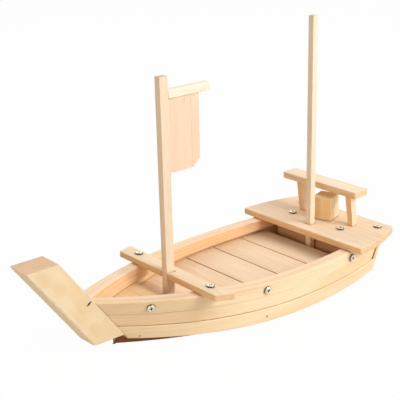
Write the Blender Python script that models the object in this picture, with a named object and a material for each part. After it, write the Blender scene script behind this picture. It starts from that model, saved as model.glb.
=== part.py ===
"""Wooden serving boat: planked hull on a flat bottom board, two lift-out masts, a sail and a stern bench.

Metres, +Z up. The bow points to -X, port is -Y, z = 0 is the table and x = 0 is the middle of the length.
"""

import math

import bmesh
import bpy
from mathutils import Matrix, Vector

# Clearances
GAP = 0.0003            # between pieces that touch
CURVE_GAP = 0.0006      # between a straight-sided piece and a curved plank
MAST_PLAY = 0.0006      # round a mast in its step and in the crossbeam notch
DECK_HOLE_PLAY = 0.0014  # round the stern mast in the stern deck
HOLE_PLAY = 0.0003      # round a screw or a nail
BLOCK_PLAY = 0.0005     # round the pivot screw in the swivelling block

# Stem: one square post, raked forward, with a level top and a foot cut a little out of square
STEM_SIDE = 0.0330
STEM_RAKE = math.radians(35.5)
STEM_TABLE_X = -0.1213        # where its aft face would meet the table
STEM_FOOT_Z = 0.0144
STEM_FOOT_RISE = 0.0004       # the foot rises this much to its front edge
STEM_FOOT_SKEW = 0.0015       # port edge higher and starboard edge lower by this much
STEM_TOP_Z = 0.1237

# Hull planking, outer faces
PLANK_THICKNESS = 0.0080
LOWER_STRAKE_HEIGHT = 0.0175
MIDDLE_STRAKE_HEIGHT = 0.0164
TOP_STRAKE_HEIGHT = 0.0170
TOP_STRAKE_STEP = 0.0008      # the top strake stands proud of the one below it
STRAKE_LIFT = 0.0006          # lowest plank edge above the table
HALF_BEAM = 0.0905            # widest half-breadth, at the sheer
WIDEST_X = 0.0940
SIDE_FLARE = 0.0030           # the bottom edge is this much narrower
BOW_FULLNESS = 2.1
STERN_FULLNESS = 2.2
STERN_HALF_BREADTH = 0.0800
BOW_SHEER_RISE = 0.0150
SHEER_LOW_X = 0.1190
SHEER_FULLNESS = 2.1
BOW_ROCKER = 0.0088
STERN_ROCKER = 0.0066
ROCKER_LOW_X = 0.1040
BOW_ROCKER_FULLNESS = 2.6
STERN_ROCKER_FULLNESS = 2.2
HULL_STATIONS = 22

# Inwale: the rail inside the top strake
INWALE_THICKNESS = 0.0080
INWALE_HEIGHT = 0.0145

# Transom
TRANSOM_FOOT_BEHIND = 0.0365  # ends of the planks at the table's height, behind the stern deck's front edge
TRANSOM_RAKE = math.radians(30.0)
TRANSOM_THICKNESS = 0.0085
TRANSOM_INSET = 0.0010        # its edge lies this far inside the planks' outer faces

# Bottom board, ledgers, mast steps and serving slats
BOTTOM_THICKNESS = 0.0135
BOTTOM_TIP_X = -0.1375        # under the stem's foot
LEDGER_WIDTH = 0.0080
SLAT_TOP_Z = 0.0317
SLAT_THICKNESS = 0.0075
SLAT_WIDTH = 0.0475
SLAT_GAP = 0.0015
FIRST_SLAT_SEAM_X = -0.0140
SLAT_MAST_CLEARANCE = 0.0030
BOARD_STATIONS = 6

# Bow deck
BOW_DECK_AFT_X = -0.0730
BOW_DECK_LENGTH = 0.0680
BOW_DECK_THICKNESS = 0.0060
BOW_BATTEN_WIDTH = 0.0090
BOW_BATTEN_HEIGHT = 0.0070
BOW_BATTEN_INSET = 0.0060     # fore batten from the deck's tip, aft batten from its aft edge

# Crossbeam
BEAM_FRONT_X = -0.0610
BEAM_WIDTH = 0.0223
BEAM_THICKNESS = 0.0075
BEAM_FRONT_HALF_LENGTH = 0.0883
BEAM_AFT_HALF_LENGTH = 0.0966

# Masts, yard and sail
FRONT_MAST_LENGTH = 0.0116    # along the boat
FRONT_MAST_WIDTH = 0.0092
STERN_MAST_SIDE = 0.0085
FRONT_MAST_TOP_Z = 0.2944
STERN_MAST_BEHIND = 0.02095   # behind the stern deck's front edge
STERN_MAST_TOP_Z = 0.3331
MAST_STEP_LENGTH = 0.0200
MAST_STEP_WIDTH = 0.0300
YARD_HEIGHT = 0.0100
YARD_WIDTH = 0.0085
YARD_LENGTH = 0.0609
YARD_TOP_Z = 0.2788
SAIL_LENGTH = 0.0454
SAIL_HEIGHT = 0.0858
SAIL_THICKNESS = 0.0040
SAIL_CORNER_CUT = 0.0100

# Stern deck: a board on the gunwales that rises a little towards the stern
STERN_DECK_FRONT_X = 0.1637
STERN_DECK_LENGTH = 0.0863
STERN_DECK_THICKNESS = 0.0086
STERN_DECK_TILT = math.radians(1.4)
STERN_DECK_FRONT_HALF = 0.1046
STERN_DECK_AFT_HALF = 0.0848
STERN_DECK_CORNER = 0.0060    # rounding of its aft corners
STERN_DECK_SIDE_POINTS = 8
STERN_DECK_CORNER_POINTS = 4
BULKHEAD_THICKNESS = 0.0100
BULKHEAD_CLEARANCE = 0.0012   # between the bulkhead under the stern deck and the mast's hole

# Bench on the stern deck
LEG_SETBACK = 0.0015          # behind the bar's front edge
LEG_DEPTH = 0.0092
LEG_FOOT_WIDTH = 0.0084
LEG_TOP_WIDTH = 0.0098
LEG_FOOT_SHIFT = -0.0014      # both feet stand a little to port, and the legs lean to starboard
LEG_LEAN = 0.0042
LEG_SPACING = 0.0863          # between the middles of the two legs
LEG_LENGTH = 0.0385
TENON_INSET = 0.0018
TENON_LENGTH = 0.0045
BENCH_AHEAD = 0.0040          # the bar's front edge ahead of the block's pivot
BENCH_WIDTH = 0.0242
BENCH_LENGTH = 0.1284
BENCH_THICKNESS = 0.0089
BENCH_OFFSET = 0.0108         # the bar is set over to starboard on its legs

# Swivelling block under the bench
BLOCK_SIDE = 0.0260
BLOCK_HEIGHT = 0.0315
BLOCK_CLEARANCE = 0.0079      # between the mast and the corners of the turning block
BLOCK_TURN = math.radians(17.0)

# Fasteners
SCREW_HEAD_RADIUS = 0.0047
SCREW_HEAD_HEIGHT = 0.0027
SCREW_SHANK_RADIUS = 0.0019
SCREW_POINT = 0.0030
RECESS_WIDTH = 0.0012
RECESS_LENGTH = 0.0050
RECESS_DEPTH = 0.0014
SCREW_SIDES = 16
BEAM_SCREW_BITE = 0.0105      # below the beam, in the top strake
BEAM_SCREW_ALONG = 0.0130     # from the beam's front edge
DECK_SCREW_BITE = 0.0080      # below the stern deck
FRONT_DECK_SCREW_Y = 0.0426
PORT_AFT_SCREW_INSET = 0.0071       # inside the planks' ends at the transom
STARBOARD_AFT_SCREW_INSET = 0.0191  # behind the bench leg, where the photo hides it
SIDE_SCREW_BITE = 0.0060      # into the inwale
FORE_SIDE_SCREW_X = -0.1140
MIDDLE_SIDE_SCREW_X = 0.0225
AFT_SIDE_SCREW_X = 0.1665
PIVOT_SCREW_BITE = 0.0140     # into the block
NAIL_HEAD_RADIUS = 0.0013
NAIL_HEAD_HEIGHT = 0.0005
NAIL_RADIUS = 0.0008
NAIL_BITE = 0.0060            # into the bottom board
NAIL_SIDES = 8
FORE_NAIL_X = -0.1180
FORE_NAIL_Z = 0.0116
AFT_NAIL_X = 0.0252
AFT_NAIL_Z = 0.0085
DRILL_EXTRA = 0.0006          # a drilled hole is this much deeper than its screw

SLOPE_STEP = 0.001            # half the span over which a curve's slope is taken
SIDES = {"port": -1.0, "starboard": 1.0}

SIDE_HEIGHT = LOWER_STRAKE_HEIGHT + MIDDLE_STRAKE_HEIGHT + TOP_STRAKE_HEIGHT
LOW_SEAM = LOWER_STRAKE_HEIGHT / SIDE_HEIGHT
HIGH_SEAM = (LOWER_STRAKE_HEIGHT + MIDDLE_STRAKE_HEIGHT) / SIDE_HEIGHT
INWALE_EDGE = 1.0 - INWALE_HEIGHT / SIDE_HEIGHT
DECK_SLOPE = math.tan(STERN_DECK_TILT)
FRONT_MAST_X = BEAM_FRONT_X + FRONT_MAST_LENGTH / 2
FRONT_MAST_SIZE = (FRONT_MAST_LENGTH, FRONT_MAST_WIDTH)
STERN_MAST_SIZE = (STERN_MAST_SIDE, STERN_MAST_SIDE)
BEAM_AFT_X = BEAM_FRONT_X + BEAM_WIDTH
SLAT_BOTTOM_Z = SLAT_TOP_Z - SLAT_THICKNESS
TRANSOM_FOOT_X = STERN_DECK_FRONT_X + TRANSOM_FOOT_BEHIND
TRANSOM_FRONT = GAP / math.cos(TRANSOM_RAKE)
TRANSOM_AFT = (GAP + TRANSOM_THICKNESS) / math.cos(TRANSOM_RAKE)
STERN_MAST_X = STERN_DECK_FRONT_X + STERN_MAST_BEHIND
BULKHEAD_FRONT_X = STERN_MAST_X + STERN_MAST_SIDE / 2 + DECK_HOLE_PLAY + BULKHEAD_CLEARANCE
BULKHEAD_X = BULKHEAD_FRONT_X + BULKHEAD_THICKNESS / 2
BLOCK_SWING = BLOCK_SIDE / math.sqrt(2.0)
MAST_ALONG = STERN_MAST_BEHIND / math.cos(STERN_DECK_TILT)
BLOCK_ALONG = MAST_ALONG + STERN_MAST_SIDE / 2 + BLOCK_CLEARANCE + BLOCK_SWING
BENCH_FRONT = BLOCK_ALONG - BENCH_AHEAD
LEG_FRONT = BENCH_FRONT + LEG_SETBACK


# Hull form

def stem_aft_x(z):
    return STEM_TABLE_X - z * math.tan(STEM_RAKE)


def plank_end_x(z):
    return TRANSOM_FOOT_X + z * math.tan(TRANSOM_RAKE)


def transom_middle_x(z):
    return plank_end_x(z) + (GAP + TRANSOM_THICKNESS / 2) / math.cos(TRANSOM_RAKE)


def sheer_z(x):
    """Height of the gunwale: it rises to the bow, and under the stern deck it follows the deck."""
    bow_run = SHEER_LOW_X - stem_aft_x(STEM_FOOT_Z + SIDE_HEIGHT)
    forward = max(0.0, SHEER_LOW_X - x) / bow_run
    aft = max(0.0, x - STERN_DECK_FRONT_X)
    return STRAKE_LIFT + SIDE_HEIGHT + BOW_SHEER_RISE * forward ** SHEER_FULLNESS + aft * DECK_SLOPE


def keel_z(x):
    """Height of the planking's lower edge, which rises to both ends."""
    forward = max(0.0, ROCKER_LOW_X - x) / (ROCKER_LOW_X - stem_aft_x(STEM_FOOT_Z))
    aft = max(0.0, x - ROCKER_LOW_X) / (TRANSOM_FOOT_X - ROCKER_LOW_X)
    bow = BOW_ROCKER * forward ** BOW_ROCKER_FULLNESS
    stern = STERN_ROCKER * aft ** STERN_ROCKER_FULLNESS
    return STRAKE_LIFT + bow + stern


def edge_z(x, share):
    """Height at a share of the side, 0 at its lower edge and 1 at the sheer."""
    return keel_z(x) + share * (sheer_z(x) - keel_z(x))


def share_at(x, z):
    return (z - keel_z(x)) / (sheer_z(x) - keel_z(x))


def meet(end_x, share):
    """Where the line at this share of the side reaches the stem or the transom."""
    x = end_x(STEM_FOOT_Z)
    for _ in range(30):
        x = end_x(edge_z(x, share))
    return x


def bow_end(share):
    return meet(stem_aft_x, share) + GAP / math.cos(STEM_RAKE)


def stern_end(share, behind=0.0):
    """Where the line at this share meets the plane of the planks' ends, or one this far behind it."""
    return meet(lambda z: plank_end_x(z) + behind, share)


def outer_y(x, share):
    """Half-breadth of the planking's outer face."""
    narrower = SIDE_FLARE * (1.0 - share)
    widest = HALF_BEAM - narrower
    if x < WIDEST_X:
        along = (WIDEST_X - x) / (WIDEST_X - bow_end(share))
        return widest - (widest - STEM_SIDE / 2) * along ** BOW_FULLNESS
    along = (x - WIDEST_X) / (stern_end(1.0) - WIDEST_X)
    return widest - (widest - STERN_HALF_BREADTH) * along ** STERN_FULLNESS


def outward(x, share):
    """Unit vector in plan, square to the outer face on the starboard side."""
    slope = (outer_y(x + SLOPE_STEP, share) - outer_y(x - SLOPE_STEP, share)) / (2 * SLOPE_STEP)
    return Vector((-slope, 1.0, 0.0)).normalized()


def inset_y(x, share, depth):
    """Half-breadth of a face that lies this deep inside the outer face."""
    return outer_y(x, share) - depth / outward(x, share).y


def inside_y(x, z, with_inwale=False):
    """Clear half-breadth inside the hull at a point."""
    depth = PLANK_THICKNESS + CURVE_GAP
    if with_inwale:
        depth += GAP + INWALE_THICKNESS
    return inset_y(x, max(0.0, share_at(x, z)), depth)


# Modelling helpers

def clear_scene():
    for item in list(bpy.data.objects):
        bpy.data.objects.remove(item, do_unlink=True)


def material(name, colour, roughness, metallic=0.0):
    made = bpy.data.materials.new(name)
    made.use_nodes = True
    shader = made.node_tree.nodes["Principled BSDF"]
    shader.inputs["Base Color"].default_value = (*colour, 1.0)
    shader.inputs["Roughness"].default_value = roughness
    shader.inputs["Metallic"].default_value = metallic
    made.diffuse_color = (*colour, 1.0)
    return made


def add_object(name, mesh_builder, finish, parent=None, location=(0, 0, 0), rotation=(0, 0, 0)):
    """Turns a bmesh into a named object with outward faces."""
    bmesh.ops.recalc_face_normals(mesh_builder, faces=mesh_builder.faces)
    mesh = bpy.data.meshes.new(name)
    mesh_builder.to_mesh(mesh)
    mesh_builder.free()
    item = bpy.data.objects.new(name, mesh)
    bpy.context.collection.objects.link(item)
    if finish is not None:
        mesh.materials.append(finish)
    item.parent = parent
    item.location = location
    item.rotation_euler = rotation
    return item


def add_empty(name, location, rotation=(0, 0, 0)):
    item = bpy.data.objects.new(name, None)
    bpy.context.collection.objects.link(item)
    item.location = location
    item.rotation_euler = rotation
    return item


def loft_mesh(rings):
    """Closed body through rings of points, with both ends capped."""
    made = bmesh.new()
    loops = [[made.verts.new(point) for point in ring] for ring in rings]
    count = len(loops[0])
    for near, far in zip(loops, loops[1:]):
        for i in range(count):
            j = (i + 1) % count
            made.faces.new((near[i], near[j], far[j], far[i]))
    made.faces.new(loops[0])
    made.faces.new(loops[-1])
    return made


def prism_mesh(outline, low, high):
    return loft_mesh([[(x, y, z) for x, y in outline] for z in (low, high)])


def box_mesh(low, high):
    outline = ((low[0], low[1]), (high[0], low[1]), (high[0], high[1]), (low[0], high[1]))
    return prism_mesh(outline, low[2], high[2])


def turned_mesh(profile, sides):
    """Round body about local Z from (radius, height) points, the first and last on the axis."""
    made = bmesh.new()
    start = made.verts.new((0.0, 0.0, profile[0][1]))
    end = made.verts.new((0.0, 0.0, profile[-1][1]))
    rings = []
    for radius, height in profile[1:-1]:
        turns = [2 * math.pi * i / sides for i in range(sides)]
        ring = [made.verts.new((radius * math.cos(t), radius * math.sin(t), height)) for t in turns]
        rings.append(ring)
    for i in range(sides):
        j = (i + 1) % sides
        made.faces.new((start, rings[0][i], rings[0][j]))
        made.faces.new((end, rings[-1][j], rings[-1][i]))
        for near, far in zip(rings, rings[1:]):
            made.faces.new((near[i], far[i], far[j], near[j]))
    return made


def cut(target, cutters):
    """Takes hidden cutter objects out of a piece."""
    for number, cutter in enumerate(cutters):
        cutter.hide_render = True
        cutter.display_type = "WIRE"
        modifier = target.modifiers.new(f"cut_{number}", "BOOLEAN")
        modifier.operation = "DIFFERENCE"
        modifier.solver = "EXACT"
        modifier.object = cutter


def axis_matrix(point, direction):
    """Frame at a point whose local Z runs along a direction."""
    turn = Vector(direction).to_track_quat("Z", "Y").to_matrix().to_4x4()
    return Matrix.Translation(Vector(point)) @ turn


def set_frame(item, matrix):
    item.location = matrix.to_translation()
    item.rotation_euler = matrix.to_euler()


# Fasteners: local Z points out of the wood, and local z = 0 is the wood's surface

def hole(name, matrix, radius, depth, parent=None):
    """Cutter for a drilled hole of this depth, opened a little above the surface."""
    outline = [(0.0, -depth), (radius, -depth), (radius, SCREW_HEAD_HEIGHT), (0.0, SCREW_HEAD_HEIGHT)]
    item = add_object(name, turned_mesh(outline, SCREW_SIDES), None, parent)
    set_frame(item, matrix)
    return item


def screw(name, matrix, length, parent=None):
    """Pan-head screw with a cross recess."""
    dome = 0.55 * SCREW_HEAD_HEIGHT
    profile = [
        (0.0, GAP + SCREW_HEAD_HEIGHT),
        (0.62 * SCREW_HEAD_RADIUS, GAP + 0.93 * SCREW_HEAD_HEIGHT),
        (0.90 * SCREW_HEAD_RADIUS, GAP + dome + 0.16 * SCREW_HEAD_HEIGHT),
        (SCREW_HEAD_RADIUS, GAP + 0.35 * SCREW_HEAD_HEIGHT),
        (SCREW_HEAD_RADIUS, GAP),
        (SCREW_SHANK_RADIUS, GAP),
        (SCREW_SHANK_RADIUS, SCREW_POINT - length),
        (0.0, -length),
    ]
    item = add_object(name, turned_mesh(profile, SCREW_SIDES), STEEL, parent)
    set_frame(item, matrix)
    top = GAP + SCREW_HEAD_HEIGHT
    low = top - RECESS_DEPTH
    arms = []
    for turn, arm in enumerate(("a", "b")):
        half = Vector((RECESS_LENGTH / 2, RECESS_WIDTH / 2))
        if turn:
            half = half.yx
        arm_mesh = box_mesh((-half.x, -half.y, low), (half.x, half.y, top + RECESS_DEPTH))
        arms.append(add_object(f"{name}_recess_{arm}", arm_mesh, None, parent))
        set_frame(arms[-1], matrix)
    cut(item, arms)
    return item


def nail(name, matrix, length):
    profile = [
        (0.0, GAP + NAIL_HEAD_HEIGHT),
        (NAIL_HEAD_RADIUS, GAP + NAIL_HEAD_HEIGHT / 2),
        (NAIL_HEAD_RADIUS, GAP),
        (NAIL_RADIUS, GAP),
        (NAIL_RADIUS, -length + 2 * NAIL_RADIUS),
        (0.0, -length),
    ]
    item = add_object(name, turned_mesh(profile, NAIL_SIDES), STEEL)
    set_frame(item, matrix)
    return item


# Hull pieces

def plank(name, side, low_share, high_share, outer_depth, thickness, finish, lap=0.0):
    """Curved plank between two shares of the side, from the stem to the transom or lapping over its edge."""
    rings = []
    for station in range(HULL_STATIONS + 1):
        along = station / HULL_STATIONS
        corners = []
        for share, shift in ((low_share, GAP / 2), (high_share, -GAP / 2)):
            start = bow_end(share)
            x = start + along * (stern_end(share, lap) - start)
            z = edge_z(x, share) + (shift if 0.0 < share < 1.0 else 0.0)
            outer = inset_y(x, share, outer_depth)
            inner = inset_y(x, share, outer_depth + thickness)
            corners.append((x, max(GAP, outer), max(GAP / 2, inner), z))
        (x0, outer0, inner0, z0), (x1, outer1, inner1, z1) = corners
        ring = [(x0, outer0, z0), (x1, outer1, z1), (x1, inner1, z1), (x0, inner0, z0)]
        rings.append([(x, side * y, z) for x, y, z in ring])
    return add_object(name, loft_mesh(rings), finish)


def make_planking():
    """Three strakes and an inwale on each side."""
    pieces = {}
    strakes = {
        "lower": (0.0, LOW_SEAM, TOP_STRAKE_STEP, TRANSOM_AFT),
        "middle": (LOW_SEAM, HIGH_SEAM, TOP_STRAKE_STEP, 0.0),
        "top": (HIGH_SEAM, 1.0, 0.0, 0.0),
    }
    for side_name, side in SIDES.items():
        for strake, (low, high, depth, lap) in strakes.items():
            name = f"{side_name}_{strake}_strake"
            pieces[name] = plank(name, side, low, high, depth, PLANK_THICKNESS - depth, PALE_PINE, lap)
        name = f"{side_name}_inwale"
        depth = PLANK_THICKNESS + GAP
        pieces[name] = plank(name, side, INWALE_EDGE, 1.0, depth, INWALE_THICKNESS, PALE_PINE)
    return pieces


def make_stem():
    """Raked square post."""
    chord = STEM_SIDE / math.cos(STEM_RAKE)
    half = STEM_SIDE / 2
    corners = ((1.0, -1.0), (0.0, -1.0), (0.0, 1.0), (1.0, 1.0))
    foot = []
    top = []
    for front, side in corners:
        foot_z = STEM_FOOT_Z + STEM_FOOT_RISE * front - STEM_FOOT_SKEW * side
        foot.append((stem_aft_x(foot_z) - chord * front, half * side, foot_z))
        top.append((stem_aft_x(STEM_TOP_Z) - chord * front, half * side, STEM_TOP_Z))
    return add_object("stem_post", loft_mesh([foot, top]), STEM_PINE)


def make_transom():
    """Raked board between the lower strakes and across the ends of the others, level with the gunwale."""
    rings = []
    for behind in (TRANSOM_FRONT, TRANSOM_AFT):
        ring = []
        for share, depth in (
            (0.0, PLANK_THICKNESS + CURVE_GAP), (LOW_SEAM, PLANK_THICKNESS + CURVE_GAP),
            (LOW_SEAM, TRANSOM_INSET), (HIGH_SEAM, TRANSOM_INSET), (1.0, TRANSOM_INSET),
        ):
            x = stern_end(share, behind)
            lift = GAP / 2 if share == LOW_SEAM else 0.0
            ring.append((x, inset_y(x, share, depth), edge_z(x, share) + lift))
        mirrored = [(x, -y, z) for x, y, z in reversed(ring)]
        rings.append(ring + mirrored)
    return add_object("transom", loft_mesh(rings), PALE_PINE)


def hull_board(
    name, front_x, aft_x, low_z, high_z, finish, with_inwale=False, aft_rake=0.0, stations=BOARD_STATIONS
):
    """Board across the hull whose ends follow the planking; low_z and high_z give heights along x."""
    rings = []
    for height in (low_z, high_z):
        ring = []
        for station in range(stations + 1):
            end_x = aft_x + height(aft_x) * aft_rake
            x = front_x + (end_x - front_x) * station / stations
            low = inside_y(x, low_z(x), with_inwale)
            high = inside_y(x, high_z(x), with_inwale)
            ring.append((x, -min(low, high), height(x)))
        mirrored = [(x, -y, z) for x, y, z in reversed(ring)]
        rings.append(ring + mirrored)
    return add_object(name, loft_mesh(rings), finish)


def make_bottom_board():
    """Flat board that the boat stands on, between the lower strakes."""
    aft = TRANSOM_FOOT_X - GAP
    rake = math.tan(TRANSOM_RAKE)
    return hull_board(
        "bottom_board", BOTTOM_TIP_X, aft, lambda x: 0.0, lambda x: BOTTOM_THICKNESS, SHADE_PINE,
        aft_rake=rake, stations=HULL_STATIONS,
    )


def slat_edges():
    """Edges of the serving slats along the boat, from the bow deck to the stern mast."""
    front = BOW_DECK_AFT_X + SLAT_GAP
    aft = STERN_MAST_X - STERN_MAST_SIDE / 2 - SLAT_MAST_CLEARANCE
    pitch = SLAT_WIDTH + SLAT_GAP
    edges = [front]
    seam = FIRST_SLAT_SEAM_X
    while seam < aft - pitch / 4:
        if seam > front + pitch / 4:
            edges.append(seam)
        seam += pitch
    edges.append(aft)
    return edges


def make_serving_deck():
    """Crosswise slats on a ledger along each side."""
    edges = slat_edges()
    for number, (front, aft) in enumerate(zip(edges, edges[1:]), 1):
        start = front + (SLAT_GAP / 2 if number > 1 else 0.0)
        end = aft - (SLAT_GAP / 2 if number < len(edges) - 1 else 0.0)
        name = f"serving_slat_{number}"
        slat = hull_board(name, start, end, lambda x: SLAT_BOTTOM_Z, lambda x: SLAT_TOP_Z, PALE_PINE)
        if start < FRONT_MAST_X < end:
            cut(slat, [mast_cutter(f"{name}_mast_hole", FRONT_MAST_X, FRONT_MAST_SIZE)])
    low = BOTTOM_THICKNESS + GAP
    high = SLAT_BOTTOM_Z - GAP
    for side_name, side in SIDES.items():
        rings = []
        for station in range(HULL_STATIONS + 1):
            x = edges[0] + (edges[-1] - edges[0]) * station / HULL_STATIONS
            outer = min(inside_y(x, low), inside_y(x, high))
            inner = outer - LEDGER_WIDTH
            corners = ((outer, low), (outer, high), (inner, high), (inner, low))
            rings.append([(x, side * y, z) for y, z in corners])
        add_object(f"{side_name}_deck_ledger", loft_mesh(rings), SHADE_PINE)


def mast_cutter(name, x, size):
    """Cutter for the hole that a mast of this section stands in, up through the serving slats."""
    half = [side / 2 + MAST_PLAY for side in size]
    mesh = box_mesh((-half[0], -half[1], 0.0), (half[0], half[1], 2 * SLAT_TOP_Z))
    cutter = add_object(name, mesh, None)
    cutter.location.x = x
    return cutter


def mast_step(name, x, size):
    """Block on the bottom board with a socket for a mast of this section."""
    low = BOTTOM_THICKNESS + GAP
    high = SLAT_BOTTOM_Z - GAP
    half = (MAST_STEP_LENGTH / 2, MAST_STEP_WIDTH / 2)
    block = add_object(name, box_mesh((-half[0], -half[1], low), (half[0], half[1], high)), SHADE_PINE)
    block.location.x = x
    cut(block, [mast_cutter(f"{name}_socket", x, size)])
    return block


def make_bow_deck():
    """Three-cornered deck under the inwales, on two battens."""
    middle = BOW_DECK_AFT_X - BOW_DECK_LENGTH / 2

    def rail_z(x):
        return edge_z(x, INWALE_EDGE) - GAP

    slope = (rail_z(middle + SLOPE_STEP) - rail_z(middle - SLOPE_STEP)) / (2 * SLOPE_STEP)

    def top(x):
        return rail_z(middle) + slope * (x - middle)

    def under(x):
        return top(x) - BOW_DECK_THICKNESS

    front = BOW_DECK_AFT_X - BOW_DECK_LENGTH
    hull_board("bow_deck", front, BOW_DECK_AFT_X, under, top, PALE_PINE)
    starts = {
        "fore": front + BOW_BATTEN_INSET,
        "aft": BOW_DECK_AFT_X - BOW_BATTEN_INSET - BOW_BATTEN_WIDTH,
    }
    for place, start in starts.items():
        hull_board(
            f"bow_deck_{place}_batten", start, start + BOW_BATTEN_WIDTH,
            lambda x: under(x) - GAP - BOW_BATTEN_HEIGHT, lambda x: under(x) - GAP, SHADE_PINE, stations=2,
        )


# Crossbeam and masts

def beam_tilt():
    """Slope of the gunwale under the crossbeam, as a turn about Y."""
    return math.atan((sheer_z(BEAM_FRONT_X) - sheer_z(BEAM_AFT_X)) / BEAM_WIDTH)


def make_crossbeam():
    """Beam across the gunwales with an open notch for the mast, screwed to both top strakes."""
    tilt = beam_tilt()
    seat = Vector((BEAM_FRONT_X, 0.0, sheer_z(BEAM_FRONT_X) + GAP / math.cos(tilt)))
    frame = add_empty("crossbeam_frame", seat, (0.0, tilt, 0.0))
    outline = (
        (0.0, -BEAM_FRONT_HALF_LENGTH), (BEAM_WIDTH, -BEAM_AFT_HALF_LENGTH),
        (BEAM_WIDTH, BEAM_AFT_HALF_LENGTH), (0.0, BEAM_FRONT_HALF_LENGTH),
    )
    beam = add_object("crossbeam", prism_mesh(outline, 0.0, BEAM_THICKNESS), PALE_PINE, frame)
    lean = (BEAM_THICKNESS + GAP) * math.tan(tilt)
    half = FRONT_MAST_WIDTH / 2 + MAST_PLAY
    depth = FRONT_MAST_LENGTH + MAST_PLAY + lean
    notch_mesh = box_mesh((-BEAM_WIDTH, -half, -BEAM_THICKNESS), (depth, half, 2 * BEAM_THICKNESS))
    notch = add_object("crossbeam_notch", notch_mesh, None, frame)
    holes = {name: [] for name in SIDES}
    cutters = [notch]
    screw_x = BEAM_FRONT_X + BEAM_SCREW_ALONG
    for side_name, side in SIDES.items():
        y = side * inset_y(screw_x, 1.0, PLANK_THICKNESS / 2)
        place = Matrix.Translation((BEAM_SCREW_ALONG, y, BEAM_THICKNESS))
        length = BEAM_THICKNESS + BEAM_SCREW_BITE
        screw(f"crossbeam_screw_{side_name}", place, length, frame)
        drill = hole(
            f"crossbeam_hole_{side_name}", place, SCREW_SHANK_RADIUS + HOLE_PLAY, length + DRILL_EXTRA, frame
        )
        cutters.append(drill)
        holes[side_name].append(drill)
    cut(beam, cutters)
    return holes


def mast_mesh(size, top_z):
    """Mast of this section from its foot at local z = 0."""
    half = [side / 2 for side in size]
    foot = BOTTOM_THICKNESS + GAP
    return box_mesh((-half[0], -half[1], 0.0), (half[0], half[1], top_z - foot))


def make_front_mast():
    """Mast with its yard and sail, which lift out together."""
    foot = BOTTOM_THICKNESS + GAP
    axis = add_empty("front_mast_axis", (FRONT_MAST_X, 0.0, foot))
    add_object("front_mast", mast_mesh(FRONT_MAST_SIZE, FRONT_MAST_TOP_Z), PALE_PINE, axis)
    start = FRONT_MAST_LENGTH / 2 + GAP
    yard_top = YARD_TOP_Z - foot
    yard_low = yard_top - YARD_HEIGHT
    half = YARD_WIDTH / 2
    yard_mesh = box_mesh((start, -half, yard_low), (start + YARD_LENGTH, half, yard_top))
    add_object("yard", yard_mesh, PALE_PINE, axis)
    sail_top = yard_low - GAP
    sail_low = sail_top - SAIL_HEIGHT
    end = start + SAIL_LENGTH
    outline = (
        (start, sail_low), (end - SAIL_CORNER_CUT, sail_low), (end, sail_low + SAIL_CORNER_CUT),
        (end, sail_top), (start, sail_top),
    )
    rings = [[(x, y, z) for x, z in outline] for y in (-SAIL_THICKNESS / 2, SAIL_THICKNESS / 2)]
    add_object("sail", loft_mesh(rings), PINK_PINE, axis)


def make_stern_mast():
    foot = BOTTOM_THICKNESS + GAP
    mesh = mast_mesh(STERN_MAST_SIZE, STERN_MAST_TOP_Z)
    add_object("stern_mast", mesh, PALE_PINE, None, (STERN_MAST_X, 0.0, foot))


# Stern deck, bench and block

def stern_deck_under_z(x):
    return sheer_z(STERN_DECK_FRONT_X) + GAP + (x - STERN_DECK_FRONT_X) * DECK_SLOPE


def stern_deck_side():
    """Starboard edge of the stern deck in its own frame, drawn in towards a rounded aft corner."""
    straight = STERN_DECK_LENGTH - STERN_DECK_CORNER
    side = []
    for i in range(STERN_DECK_SIDE_POINTS + 1):
        x = straight * i / STERN_DECK_SIDE_POINTS
        drawn_in = (STERN_DECK_FRONT_HALF - STERN_DECK_AFT_HALF) * (x / STERN_DECK_LENGTH) ** 2
        side.append((x, STERN_DECK_FRONT_HALF - drawn_in))
    start_y = side[-1][1]
    for i in range(1, STERN_DECK_CORNER_POINTS + 1):
        turn = math.pi / 2 * i / STERN_DECK_CORNER_POINTS
        x = straight + STERN_DECK_CORNER * math.sin(turn)
        side.append((x, start_y - STERN_DECK_CORNER * (1.0 - math.cos(turn))))
    return side


def make_stern_deck(transom):
    """Board on the gunwales with the bench and the swivelling block on it."""
    origin = (STERN_DECK_FRONT_X, 0.0, stern_deck_under_z(STERN_DECK_FRONT_X))
    frame = add_empty("stern_deck_frame", origin, (0.0, -STERN_DECK_TILT, 0.0))
    side = stern_deck_side()
    outline = side + [(x, -y) for x, y in reversed(side)]
    deck = add_object("stern_deck", prism_mesh(outline, 0.0, STERN_DECK_THICKNESS), PALE_PINE, frame)
    half = STERN_MAST_SIDE / 2 + DECK_HOLE_PLAY
    mast_hole_mesh = box_mesh((-half, -half, 0.0), (half, half, STERN_MAST_TOP_Z))
    mast_hole = add_object("stern_deck_mast_hole", mast_hole_mesh, None)
    mast_hole.location = (STERN_MAST_X, 0.0, SLAT_TOP_Z)
    cutters = [mast_hole]
    cutters += make_bench(frame)
    cutters += make_block(frame)
    holes, bulkhead = make_stern_deck_screws(frame)
    cut(deck, cutters + holes["bulkhead"] + holes["transom"])
    cut(bulkhead, holes["bulkhead"])
    cut(transom, holes["transom"])


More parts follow.
